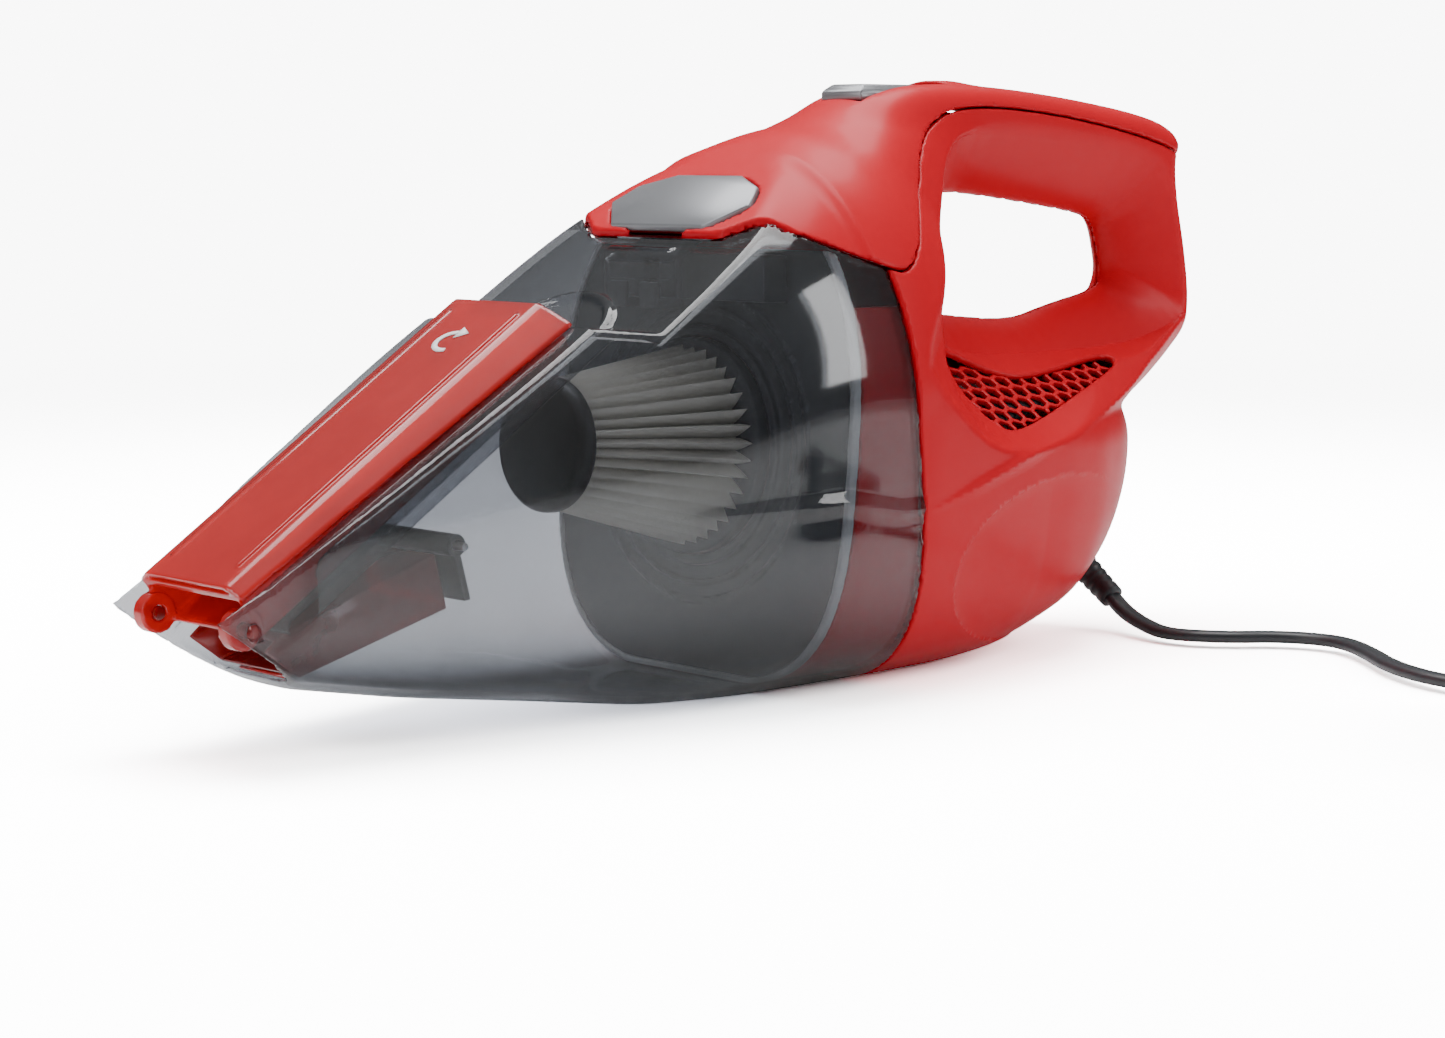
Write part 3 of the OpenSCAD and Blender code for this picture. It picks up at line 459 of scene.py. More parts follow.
    def dust_cup(self, x, y, z):
        """Cup with its crease, the rim of the tool's recess, the catch bar and the mouth."""
        pod = self.pod(x, y, z)
        line = np.interp(x, (-70, -19, 4), (59.3, 61.3, 57))
        raised = 1.5 * np.interp(x, (-76, -19), (0, 1)) * np.exp(-(((z - line) / 2.2) ** 2))
        outer = smooth_max(pod - raised, self.cup_limits(x, y, z, 0), 1.6)
        inner = smooth_max(pod + self.cup_wall, self.cup_limits(x, y, z, self.cup_wall), 1.6)
        found = smooth_max(outer, -inner, 0.5)
        s, n = slope_frame(x, z)
        out = np.sqrt((s - RECESS_S) ** 2 + y**2 + 1e-6) - RECESS_RADIUS
        rim = np.sqrt(out**2 + (n + CUP_DEPTH) ** 2) - RECESS_RIM
        rim = smooth_max(rim, RECESS_S - s + 0 * y, 0.5)
        found = smooth_min(found, rim, 1.2)
        bar = block(x, y, z, (-36.75, 129.3), (1.2, 14, 4.7))
        found = smooth_min(found, bar, 0.6)
        found = smooth_max(found, -self.mouth(x, z) + 0 * y, 0.5)
        found = smooth_max(found, self.seam(x, z) + 0.25 + 0 * y, 0.5)
        found = smooth_max(found, -(self.cover(x, y, z) - 0.4), 0.5)
        hinge = np.sqrt((s - HINGE_S) ** 2 + (n - HINGE_N) ** 2)
        sweep = smooth_max(hinge - TOOL_SWEEP, np.abs(y) - FIN_INSIDE, 0.4)
        found = smooth_max(found, CUP_BORE - hinge + 0 * y, 0.4)
        found = smooth_max(found, -sweep, 0.5)
        return smooth_max(found, -z + 0 * y + 0 * x, 0.5)

    def bulkhead(self, x, y, z):
        """Wall with the filter's collar, two beads and the latch's box."""
        d = axis_depth(x, z)
        r = axis_radius(x, y, z)
        pod = self.pod(x, y, z)
        slab = smooth_max(pod + self.wall + 2.2, np.abs(d - 1.5) - 1.5 + 0 * y, 0.5)
        slab = smooth_max(slab, -(self.cover(x, y, z) - 0.8), 0.5)
        collar = smooth_max(np.abs(r - FILTER_COLLAR) - 1.6, np.abs(d + 0.6) - 1.8, 0.6)
        found = smooth_min(slab, collar, 1.2)
        for radius in BEADS:
            bead = smooth_max(np.abs(r - radius) - 0.7, np.abs(d) - 0.6, 0.3)
            found = smooth_min(found, bead, 0.8)
        box = block(x, y, z, (-16, 125), (5, 36, 7))
        hollow = block(x, y, z, (-12, 125), (7, 34, 5))
        found = smooth_min(found, box, 0.6)
        found = smooth_max(found, -hollow, 0.5)
        return smooth_max(found, FILTER_HOLE - r, 0.4)

    def cup_seal(self, x, y, z):
        """Gasket between the cup and the bulkhead."""
        d = axis_depth(x, z)
        pod = self.pod(x, y, z)
        ring = smooth_max(shell_of(pod + self.cup_wall + 0.3, 1.9, 0.4), np.abs(d - 1.2) - 1.6 + 0 * y, 0.5)
        return smooth_max(ring, -(self.cover(x, y, z) - 0.8), 0.5)

    def grille(self, x, y, z):
        """Plate of hexagon holes in the slope under the finger gap."""
        up, down = self.vent_plane(x, y, z)
        plate = smooth_max(np.abs(up + 2.2) - 1.0, self.vent(x, down) + 0.3, 0.4)
        plate = smooth_max(plate, self.body(x, y, z) + 0.6, 0.4)
        found = smooth_max(plate, -hexagons(x, down, VENT_PITCH, VENT_WIDTH), 0.5)
        return smooth_max(found, y + 0 * x, 0.2)


def hexagons(u, v, pitch, width):
    """Field of hexagons, width across their flats, whose middles are pitch apart; negative inside."""
    row = pitch * math.sin(math.pi / 3)
    best = None
    for shift in (0, 1):
        a = (u + shift * pitch / 2) / pitch
        b = (v + shift * row) / (2 * row)
        x = (a - np.round(a)) * pitch
        y = (b - np.round(b)) * 2 * row
        d = np.maximum(np.abs(x), np.abs(x) * 0.5 + np.abs(y) * math.sin(math.pi / 3))
        best = d if best is None else np.minimum(best, d)
    return best - width / 2


def tool_field(s, y, n, length):
    """Crevice tool in its own frame: along its length, across it and out of its flat top."""
    share = np.clip(s / length, 0, 1)
    side = np.abs(y)
    rim, rim_n = 24 + 5 * share, -3 - 3.4 * share
    bevel = ((side - 19) * -rim_n + n * (rim - 19)) / np.hypot(rim - 19, rim_n)
    lid = smooth_max(smooth_max(n + 0 * side, bevel, 0.8), smooth_max(rim_n - 1.3 - n, side - rim, 0.5), 0.6)
    keel = smooth_max(side - 22 - (n + 17.5) * 0.11, smooth_max(-(n + 17.5), n - rim_n, 0.5), 1.6)
    section = smooth_min(lid, keel, 0.8)
    rib = np.abs(side - 15.5) - 0.6
    rib = smooth_max(rib, smooth_max(n - 0.55, -n - 0.4, 0.2), 0.2)
    skin = shell_of(section, 1.8)
    skin = smooth_min(skin, smooth_max(rib, np.maximum(8 - s, s - length + 6), 0.3), 0.5)
    skin = smooth_max(skin, np.maximum(-s, s - length), 0.6)
    round_end = np.sqrt((s - HINGE_S) ** 2 + (n - HINGE_N) ** 2)
    ear = smooth_max(round_end - EAR_RADIUS, smooth_max(18.2 - side, side - 22.9, 0.4), 0.5)
    found = smooth_min(skin, ear, 0.8)
    return smooth_max(found, TOOL_BORE - round_end + 0 * y, 0.3)


# ---------------------------------------------------------------- meshes


def cell_points(values):
    """One point in every cell that the zero level crosses, and the faces between neighbouring cells."""
    cells = tuple(n - 1 for n in values.shape)
    total = cells[0] * cells[1] * cells[2]
    sums = np.zeros((3, total))
    hits = np.zeros(total)
    quads = []
    for axis in range(3):
        low = [slice(None)] * 3
        high = [slice(None)] * 3
        low[axis], high[axis] = slice(0, -1), slice(1, None)
        a, b = values[tuple(low)], values[tuple(high)]
        at = np.argwhere((a < 0) != (b < 0))
        va = a[at[:, 0], at[:, 1], at[:, 2]]
        vb = b[at[:, 0], at[:, 1], at[:, 2]]
        place = at.astype(float)
        place[:, axis] += va / (va - vb)
        u, v = (axis + 1) % 3, (axis + 2) % 3
        corners = []
        for du, dv in ((0, 0), (-1, 0), (-1, -1), (0, -1)):
            cell = at.copy()
            cell[:, u] += du
            cell[:, v] += dv
            fits = ((cell >= 0) & (cell < cells)).all(1)
            index = np.where(fits, (cell[:, 0] * cells[1] + cell[:, 1]) * cells[2] + cell[:, 2], -1)
            corners.append(index)
            good = index[fits]
            hits += np.bincount(good, minlength=total)
            for k in range(3):
                sums[k] += np.bincount(good, place[fits, k], minlength=total)
        quad = np.stack(corners, 1)
        whole = (quad >= 0).all(1)
        forward = (va < 0)[whole]
        quad = quad[whole]
        quads.append(np.where(forward[:, None], quad, quad[:, ::-1]))
    used = np.flatnonzero(hits)
    number = np.full(total, -1)
    number[used] = np.arange(len(used))
    return (sums[:, used] / hits[used]).T, number[np.vstack(quads)]


def gradient(field, p, h=0.3):
    """Field at points, and its direction of steepest rise."""
    value = field(p[:, 0], p[:, 1], p[:, 2])
    slopes = []
    for axis in range(3):
        ahead, behind = p.copy(), p.copy()
        ahead[:, axis] += h
        behind[:, axis] -= h
        rise = field(ahead[:, 0], ahead[:, 1], ahead[:, 2]) - field(behind[:, 0], behind[:, 1], behind[:, 2])
        slopes.append(rise / (2 * h))
    return value, np.stack(slopes, 1)


def field_mesh(name, field, low, high, step, place=None):
    """Mesh of a field's zero level in a box, its points and normals taken from the field itself."""
    axes = [np.arange(a, b + step, step) for a, b in zip(low, high)]
    x, y, z = axes[0][:, None, None], axes[1][None, :, None], axes[2][None, None, :]
    parts = [np.broadcast_to(field(x[i : i + 40], y, z), (len(x[i : i + 40]), y.shape[1], z.shape[2]))
             for i in range(0, len(x), 40)]
    points, quads = cell_points(np.concatenate(parts).astype(np.float64))
    points = points * step + np.array([a[0] for a in axes])
    for _ in range(3):
        value, slope = gradient(field, points)
        size = np.maximum((slope**2).sum(1), 0.05)
        move = -(value / size)[:, None] * slope
        far = np.maximum(np.linalg.norm(move, axis=1) / (0.7 * step), 1)
        points = points + move / far[:, None]
    _, slope = gradient(field, points, 0.35)
    normals = slope / np.maximum(np.linalg.norm(slope, axis=1), 1e-9)[:, None]
    if place is not None:
        points, normals = place(points, normals)
    return mesh_object(name, points, quads, normals)


def mesh_object(name, points, faces, normals=None):
    """Blender object of points in millimetres and faces, smooth shaded."""
    mesh = bpy.data.meshes.new(name)
    mesh.from_pydata((np.asarray(points) * MM).tolist(), [], [list(map(int, f)) for f in faces])
    mesh.validate()
    mesh.update()
    mesh.shade_smooth()
    if normals is not None and len(mesh.vertices) == len(normals):
        mesh.normals_split_custom_set_from_vertices(normals.tolist())
    made = bpy.data.objects.new(name, mesh)
    bpy.context.scene.collection.objects.link(made)
    return made


def out_of_slope(points, normals):
    """Points and normals from the slope's frame into the vacuum's."""
    c, s = math.cos(SLOPE), math.sin(SLOPE)
    turn = np.array([[c, 0, s], [0, 1, 0], [-s, 0, c]])
    return points @ turn + np.array([SLOPE_X, 0, SLOPE_Z]), normals @ turn


def on_axis(points):
    """Points given as distance along the motor's axis and two across it, in the vacuum's frame."""
    p = np.asarray(points, float)
    c, s = math.cos(AXIS_TILT), math.sin(AXIS_TILT)
    x = AXIS_X + p[:, 0] * c + p[:, 2] * s
    z = AXIS_Z - p[:, 0] * s + p[:, 2] * c
    return np.stack([x, p[:, 1], z], 1)


def bevelled(node, width=0.5, segments=3):
    """A finished copy of a CAD node: coplanar facets joined, edges rounded with hardened normals."""
    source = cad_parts[node]
    made = bpy.data.objects.new(node + "_moulding", source.data.copy())
    made.data.materials.clear()
    bpy.context.scene.collection.objects.link(made)
    weld = made.modifiers.new("Weld", "WELD")
    weld.merge_threshold = 0.00001
    flat = made.modifiers.new("Flat", "DECIMATE")
    flat.decimate_type = "DISSOLVE"
    flat.angle_limit = math.radians(1)
    edge = made.modifiers.new("Edges", "BEVEL")
    edge.width = width * MM
    edge.segments = segments
    edge.limit_method = "ANGLE"
    edge.angle_limit = math.radians(35)
    edge.harden_normals = True
    apply_modifiers(made)
    made.data.shade_smooth()
    return made


def apply_modifiers(made):
    """Bakes an object's modifiers into its mesh."""
    bpy.context.view_layer.update()
    seen = made.evaluated_get(bpy.context.evaluated_depsgraph_get())
    mesh = bpy.data.meshes.new_from_object(seen)
    made.modifiers.clear()
    made.data = mesh
    mesh.shade_smooth()


def fit(made, body, slot, *nodes, material):
    """Gives a piece its material and its body, and hides the CAD nodes it stands for; the slot is not used.
    """
    made.data.materials.clear()
    made.data.materials.append(material)
    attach(made, body)
    if nodes:
        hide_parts(*nodes)
    return made


# ---------------------------------------------------------------- materials


class Nodes:
    """Short way to build a material's nodes."""

    def __init__(self, name):
        self.material = bpy.data.materials.new(name)
        self.material.use_nodes = True
        self.tree = self.material.node_tree
        self.tree.nodes.clear()
        self.out = self.add("ShaderNodeOutputMaterial")

    def add(self, kind, **values):
        """A node with its inputs or settings given by name."""
        node = self.tree.nodes.new(kind)
        for key, value in values.items():
            if key in node.inputs:
                self.give(node.inputs[key], value)
            else:
                setattr(node, key, value)
        return node

    def give(self, socket, value):
        """Links or sets one input."""
        if isinstance(value, bpy.types.NodeSocket):
            self.tree.links.new(value, socket)
        else:
            socket.default_value = value

    def place(self):
        """Object coordinates, in metres."""
        return self.add("ShaderNodeTexCoord").outputs["Object"]

    def noise(self, scale, detail=3.0, where=None):
        """Noise between 0 and 1."""
        made = self.add("ShaderNodeTexNoise", Scale=scale, Detail=detail)
        self.give(made.inputs["Vector"], where or self.place())
        return made.outputs["Fac"]

    def spread(self, source, low, high):
        """A 0 to 1 value stretched between two others."""
        made = self.add("ShaderNodeMapRange")
        self.give(made.inputs["Value"], source)
        made.inputs["To Min"].default_value = low
        made.inputs["To Max"].default_value = high
        return made.outputs["Result"]

    def mix(self, factor, a, b):
        """Colour between a and b."""
        made = self.add("ShaderNodeMix", data_type="RGBA")
        self.give(made.inputs[0], factor)
        self.give(made.inputs[6], a)
        self.give(made.inputs[7], b)
        return made.outputs[2]

    def bump(self, height, distance, strength=1.0):
        """Normal of a bumpy surface; the distance is in metres."""
        made = self.add("ShaderNodeBump", Strength=strength, Distance=distance)
        self.give(made.inputs["Height"], height)
        return made.outputs["Normal"]

    def finish(self, shader):
        """Sends the shader to the output."""
        self.tree.links.new(shader, self.out.inputs["Surface"])
        return self.material


def moulded(name, colour, roughness=0.38, grain=0.00004, grain_scale=2200.0, vary=0.06, coat=0.0, metal=0.0,
            shine=0.5):
    """Opaque moulded plastic with a fine spark-eroded grain, faint marbling and uneven gloss."""
    n = Nodes(name)
    cloud = n.noise(18.0, 4.0)
    fine = n.noise(grain_scale, 2.0)
    dark = tuple(c * (1 - vary) for c in colour[:3]) + (1,)
    light = tuple(min(c * (1 + vary), 1) for c in colour[:3]) + (1,)
    shader = n.add("ShaderNodeBsdfPrincipled", Metallic=metal)
    n.give(shader.inputs["Base Color"], n.mix(cloud, dark, light))
    n.give(shader.inputs["Roughness"], n.spread(n.noise(60.0, 3.0), roughness - 0.05, roughness + 0.06))
    n.give(shader.inputs["Normal"], n.bump(fine, grain, 0.6))
    shader.inputs["Coat Weight"].default_value = coat
    shader.inputs["Coat Roughness"].default_value = 0.15
    shader.inputs["Specular IOR Level"].default_value = shine
    return n.finish(shader.outputs[0])


def see_through(name, tint, body, body_share, roughness=0.06):
    """Tinted clear plastic, darker seen edge on, with a glossy skin, fine scuffs and a trace of haze."""
    n = Nodes(name)
    facing = n.add("ShaderNodeLayerWeight", Blend=0.35).outputs["Facing"]
    cloud = n.noise(14.0, 3.0)
    deep = tuple(c**2.6 for c in tint) + (1,)
    passed = n.mix(facing, tint + (1,), deep)
    clear = n.add("ShaderNodeBsdfTransparent")
    n.give(clear.inputs["Color"], passed)
    haze = n.add("ShaderNodeBsdfPrincipled", Roughness=0.35)
    n.give(haze.inputs["Base Color"], n.mix(cloud, tuple(c * 0.85 for c in body) + (1,), body + (1,)))
    inner = n.add("ShaderNodeMixShader")
    n.give(inner.inputs[0], n.spread(n.noise(40.0, 4.0), body_share * 0.8, body_share * 1.2))
    n.give(inner.inputs[1], clear.outputs[0])
    n.give(inner.inputs[2], haze.outputs[0])
    scuffs = n.add("ShaderNodeTexNoise", Scale=900.0, Detail=2.0)
    stretch = n.add("ShaderNodeMapping")
    n.give(stretch.inputs["Vector"], n.place())
    stretch.inputs["Scale"].default_value = (0.15, 1, 1)
    n.give(scuffs.inputs["Vector"], stretch.outputs[0])
    gloss = n.add("ShaderNodeBsdfGlossy")
    n.give(gloss.inputs["Roughness"], n.spread(scuffs.outputs["Fac"], roughness * 0.6, roughness * 1.8))
    n.give(gloss.inputs["Normal"], n.bump(n.noise(30.0, 2.0), 0.00015, 0.25))
    edge_on = n.add("ShaderNodeLayerWeight", Blend=0.5).outputs["Facing"]
    steep = n.add("ShaderNodeMath", operation="POWER")
    n.give(steep.inputs[0], edge_on)
    steep.inputs[1].default_value = 4.0
    outer = n.add("ShaderNodeMixShader")
    n.give(outer.inputs[0], n.spread(steep.outputs[0], 0.045, 0.85))
    n.give(outer.inputs[1], inner.outputs[0])
    n.give(outer.inputs[2], gloss.outputs[0])
    return n.finish(outer.outputs[0])


def rubber(name, colour, roughness=0.55):
    """Matt elastomer with a dusty bloom."""
    n = Nodes(name)
    shader = n.add("ShaderNodeBsdfPrincipled")
    lighter = tuple(min(c * 1.5 + 0.006, 1) for c in colour) + (1,)
    n.give(shader.inputs["Base Color"], n.mix(n.noise(35.0, 5.0), colour + (1,), lighter))
    n.give(shader.inputs["Roughness"], n.spread(n.noise(120.0, 3.0), roughness - 0.08, roughness + 0.1))
    n.give(shader.inputs["Normal"], n.bump(n.noise(1500.0, 2.0), 0.00003, 0.5))
    return n.finish(shader.outputs[0])


def paper(name, colour):
    """Filter paper: fibres in the bump and dust in the folds."""
    n = Nodes(name)
    shader = n.add("ShaderNodeBsdfPrincipled", Roughness=0.9)
    fibres = n.noise(900.0, 6.0)
    dust = n.noise(45.0, 5.0)
    dirty = tuple(c * 0.72 for c in colour) + (1,)
    n.give(shader.inputs["Base Color"], n.mix(dust, dirty, colour + (1,)))
    n.give(shader.inputs["Normal"], n.bump(fibres, 0.00012, 0.7))
    return n.finish(shader.outputs[0])


def metal(name, colour, roughness=0.3, lines=(1, 1, 30)):
    """Machined metal with fine turning marks."""
    n = Nodes(name)
    shader = n.add("ShaderNodeBsdfPrincipled", Metallic=1.0)
    stretch = n.add("ShaderNodeMapping")
    n.give(stretch.inputs["Vector"], n.place())
    stretch.inputs["Scale"].default_value = lines
    marks = n.noise(120.0, 3.0, stretch.outputs[0])
    n.give(shader.inputs["Base Color"], n.mix(marks, tuple(c * 0.85 for c in colour) + (1,), colour + (1,)))
    n.give(shader.inputs["Roughness"], n.spread(marks, roughness - 0.08, roughness + 0.1))
    n.give(shader.inputs["Normal"], n.bump(marks, 0.00002, 0.5))
    return n.finish(shader.outputs[0])


def foam(name, colour):
    """Open-celled filter foam."""
    n = Nodes(name)
    shader = n.add("ShaderNodeBsdfPrincipled", Roughness=0.95)
    cells = n.add("ShaderNodeTexVoronoi", Scale=700.0)
    n.give(cells.inputs["Vector"], n.place())
    # Base colour goes from near black at the middle of each cell, where the bump sinks a pit, to the foam's
    # colour at the cell walls: painted shade in the pores.
    n.give(shader.inputs["Base Color"], n.mix(cells.outputs["Distance"], (0.004,) * 3 + (1,), colour + (1,)))
    n.give(shader.inputs["Normal"], n.bump(cells.outputs["Distance"], 0.0006, 0.8))
    return n.finish(shader.outputs[0])


_made = {}


def shade(name):
    """A colour set in the sidebar."""
    return tuple(getattr(bpy.context.scene.vacuum_colours, name))


def recipe(key):
    """Makes one of the vacuum's materials."""
    match key:
        case "red_shell":
            return moulded("red_satin_plastic", shade("shell"), 0.38, coat=0.06, shine=0.12)
        case "smoke_clear":
            return see_through("smoke_clear_plastic", shade("cup_tint"), (0.10, 0.105, 0.11), 0.05)
        case "clear_red":
            return see_through("clear_red_plastic", shade("tool_tint"), (0.70, 0.012, 0.010), 0.42)
        case "dark_red":
            return see_through("deep_red_plastic", (0.70, 0.08, 0.07), (0.30, 0.012, 0.012), 0.45)
        case "charcoal":
            return moulded("charcoal_plastic", shade("inner"), 0.5, vary=0.12)
        case "dark_cap":
            return moulded("filter_cap_plastic", (0.016, 0.014, 0.015), 0.42, vary=0.1)
        case "silver_plastic":
            return moulded("silver_satin_plastic", shade("button"), 0.34, 0.00003, 3000.0, 0.05, 0.15, 0.5)
        case "soft_grey":
            return rubber("pale_seal_rubber", shade("seal"))
        case "black_rubber":
            return rubber("black_cord_rubber", shade("cord"), 0.42)
        case "pleats":
            return paper("filter_paper", shade("paper"))
        case "foam":
            return foam("exhaust_foam", (0.03, 0.03, 0.033))
        case "steel":
            return metal("bright_steel", (0.62, 0.62, 0.64))
        case "lamination":
            return metal("lamination_steel", (0.22, 0.22, 0.24), 0.45, (40, 1, 1))
        case "copper":
            return metal("enamelled_copper", (0.72, 0.30, 0.13), 0.35)
        case "carbon":
            return moulded("carbon_block", (0.012, 0.012, 0.013), 0.6)
        case "bright_metal":
            return metal("nickel_plate", (0.72, 0.69, 0.62), 0.18)
        case "white_mark":
            return moulded("white_print", (0.75, 0.75, 0.75), 0.5)
    raise ValueError(f"no material is called {key}")


def material(key):
    """A material in the sidebar's colours, made once for each set of them."""
    wanted = (key, *(shade(name) for name in VacuumColours.__annotations__))
    if wanted not in _made:
        _made[wanted] = recipe(key)
    return _made[wanted]


# ---------------------------------------------------------------- pieces


_shapes = {}


def sizes():
    """The sizes set in the sidebar."""
    return bpy.context.scene.vacuum_sizes


def in_mm(name):
    """A length set in the sidebar, in millimetres."""
    return getattr(sizes(), name) / MM


def shapes():
    """The vacuum's fields for the walls set in the sidebar, made once for each pair of walls."""
    walls = (in_mm("wall"), in_mm("cup_wall"))
    if walls not in _shapes:
        _shapes[walls] = Shapes(*walls)
    return _shapes[walls]


def coil_line():
    """The cord's whole line: route, turns of the coil in layers, and the tail up to the plug."""
    turns = []
    angle = math.radians(4)
    step = math.radians(12)
    radius = in_mm("coil_radius")
    layers = sizes().coil_layers
    wide = radius + (COIL_ACROSS - 1) * CORD_WIDTH / 2
    narrow = radius - (COIL_ACROSS - 1) * CORD_WIDTH / 2
    flat = (COIL_ACROSS - 1) * 30
    rise = 6
    for layer in range(layers):
        start, end = (wide, narrow) if layer % 2 == 0 else (narrow, wide)
        for i in range(flat):
            turns.append((angle, start + (end - start) * i / flat, LOW + layer * CORD_WIDTH))
            angle -= step
        if layer < layers - 1:
            for i in range(rise):
                ease = 0.5 - 0.5 * math.cos(math.pi * i / rise)
                turns.append((angle, end, LOW + (layer + ease) * CORD_WIDTH))
                angle -= step
    last = (angle, wide, LOW + (layers - 1) * CORD_WIDTH)
    goal = (PLUG_ANGLE, PLUG_RADIUS, layers * CORD_WIDTH + 6.3)
    sweep = (last[0] - goal[0]) % (2 * math.pi)
    for i in range(9):
        t = i / 8
        ease = 0.5 - 0.5 * math.cos(math.pi * t)
        turns.append((last[0] - sweep * t, *(a + (b - a) * ease for a, b in zip(last[1:], goal[1:]))))
    coil = [(COIL_X + r * math.cos(a), COIL_Y + r * math.sin(a), z) for a, r, z in turns]
    return np.vstack([spline(list(ROUTE) + [coil[0]], 6)[:-1], np.array(coil)])


def ring_faces(rings, around):
    """Four-sided faces between one closed ring of points and the next."""
    return [(i * around + j, i * around + (j + 1) % around, (i + 1) * around + (j + 1) % around,
             (i + 1) * around + j) for i in range(rings - 1) for j in range(around)]


def ring_ends(rings, around):
    """The two faces that close a stack of rings."""
    return [tuple(range(around - 1, -1, -1)), tuple((rings - 1) * around + j for j in range(around))]


def ribbed_tube(name, line, section):
    """Tube with one outline all along a line; the outline's first axis stays level."""
    ahead = np.gradient(line, axis=0)
    ahead /= np.linalg.norm(ahead, axis=1)[:, None]
    side = np.cross(np.array([0, 0, 1.0]), ahead)
    side /= np.linalg.norm(side, axis=1)[:, None]
    up = np.cross(ahead, side)
    rings = line[:, None, :] + section[None, :, :1] * side[:, None, :] + section[None, :, 1:] * up[:, None, :]
    n, m = len(line), len(section)
    faces = ring_faces(n, m) + ring_ends(n, m)
    return mesh_object(name, rings.reshape(-1, 3), faces)


def twin_section():
    """Outline of the flat cord: two round conductors side by side with a valley between them."""
    wide, thick = in_mm("cord_width"), in_mm("cord_thickness")
    points = []
    for i in range(20):
        a = 2 * math.pi * i / 20
        u = math.cos(a) * wide / 2
        waist = 1 - 0.22 * math.exp(-((u / 0.9) ** 2))
        points.append((u, power(math.sin(a), 0.75) * thick / 2 * waist))
    return np.array(points)


def power(v, e):
    """A power that keeps the sign."""
    return math.copysign(abs(v) ** e, v)


def make_cord():
    """Mains cord, its strain relief, tie and plug."""
    line = coil_line()
    cord = ribbed_tube("mains_cord", line, twin_section())
    fit(cord, "housing", "black_rubber", "power_cord", "cord_coil", material=material("black_rubber"))
    tie = bevelled("cord_tie", 0.5)
    fit(tie, "housing", "charcoal", "cord_tie", material=material("charcoal"))
    plug = bevelled("plug_body", 1.6, 4)
    fit(plug, "housing", "black_rubber", "plug_body", material=material("black_rubber"))
    blades = bevelled("plug_blades", 0.3, 2)
    fit(blades, "housing", "bright_metal", "plug_blades", material=material("bright_metal"))
    relief = strain_relief(spline(ROUTE[:5], 8))
    fit(relief, "housing", "black_rubber", "cord_strain_relief", material=material("black_rubber"))


def strain_relief(line):
    """Tapered sleeve cut by grooves."""
    rings = []
    for i, p in enumerate(line):
        t = i / (len(line) - 1)
        groove = 0.5 if i % 3 == 1 and 0.15 < t < 0.95 else 0
        rings.append((p, CORD_WIDTH / 2 + 2.6 - 1.7 * t - groove))
    ahead = np.gradient(line, axis=0)
    ahead /= np.linalg.norm(ahead, axis=1)[:, None]
    sides = 24
    points = []
    for (p, r), a in zip(rings, ahead):
        side = np.cross((0, 0, 1.0), a)
        side /= np.linalg.norm(side)
        up = np.cross(a, side)
        for j in range(sides):
            t = 2 * math.pi * j / sides
            points.append(p + r * (math.cos(t) * side + math.sin(t) * up))
    faces = ring_faces(len(rings), sides) + ring_ends(len(rings), sides)
    return mesh_object("cord_sleeve", points, faces)


def make_housings():
    """Left and right housing halves with their vents."""
    s = shapes()
    for side, field, low, high in (
        ("left", s.left_housing, (-18, -72, -2), (210, 1.2, 188)),
        ("right", s.right_housing, (-18, -1.2, -2), (210, 72, 188)),
    ):
        housing = field_mesh(f"{side}_shell", field, low, high, SHELL_STEP)
        fit(housing, "housing", "red_shell", f"{side}_housing", material=material("red_shell"))


def make_grilles():
    """Honeycomb plates under the finger gap, and the foam behind them."""
    s = shapes()
    for side in ("left", "right"):
        turn = 1 if side == "left" else -1
        field = s.grille if turn > 0 else (lambda x, y, z: s.grille(x, -y, z))
        low, high = ((58, -58, 68), (157, -12, 104)) if turn > 0 else ((58, 12, 68), (157, 58, 104))
        grille = field_mesh(f"{side}_vents", field, low, high, 0.55)
        fit(grille, "housing", "red_shell", f"{side}_exhaust_grille", material=material("red_shell"))
        pad = bevelled(f"{side}_exhaust_foam", 0.6, 2)
        fit(pad, "housing", "foam", f"{side}_exhaust_foam", material=material("foam"))


def make_cover():
    """Top cover with its beak, the release button and the power slider."""
    cover = field_mesh("cover_shell", shapes().top_cover, (-38, -72, 118), (210, 72, 188), SHELL_STEP)
    fit(cover, "housing", "red_shell", "top_cover", material=material("red_shell"))
    button = bevelled("release_button", 0.9, 4)
    fit(button, "release", "silver_plastic", "release_button", material=material("silver_plastic"))
    hook = bevelled("latch_hook", 0.5)
    fit(hook, "release", "charcoal", "latch_hook", material=material("charcoal"))
    slider = bevelled("power_slider", 0.8, 4)
    fit(slider, "slider", "silver_plastic", "power_slider", material=material("silver_plastic"))


def make_cup():
    """See-through dust cup and what is fixed in it."""
    cup = field_mesh("clear_cup", shapes().dust_cup, (-212, -72, -2), (26, 72, 146), 1.3)
    fit(cup, "cup", "smoke_clear", "dust_cup", "catch_bar", material=material("smoke_clear"))
    for node, key, width in (
        ("inlet_duct", "dark_red", 0.7),
        ("nozzle_lip", "clear_red", 0.6),
        ("tool_clip", "charcoal", 0.4),
        ("tool_hinge_pins", "dark_red", 0.4),
        ("flap_hinge_pin", "steel", 0.3),
    ):
        piece = bevelled(node, width)
        slot = "clear_red" if key == "dark_red" else key
        fit(piece, "cup", slot, node, material=material(key))
    flap = bevelled("inlet_flap", 0.5)
    fit(flap, "flap", "black_rubber", "inlet_flap", material=material("black_rubber"))


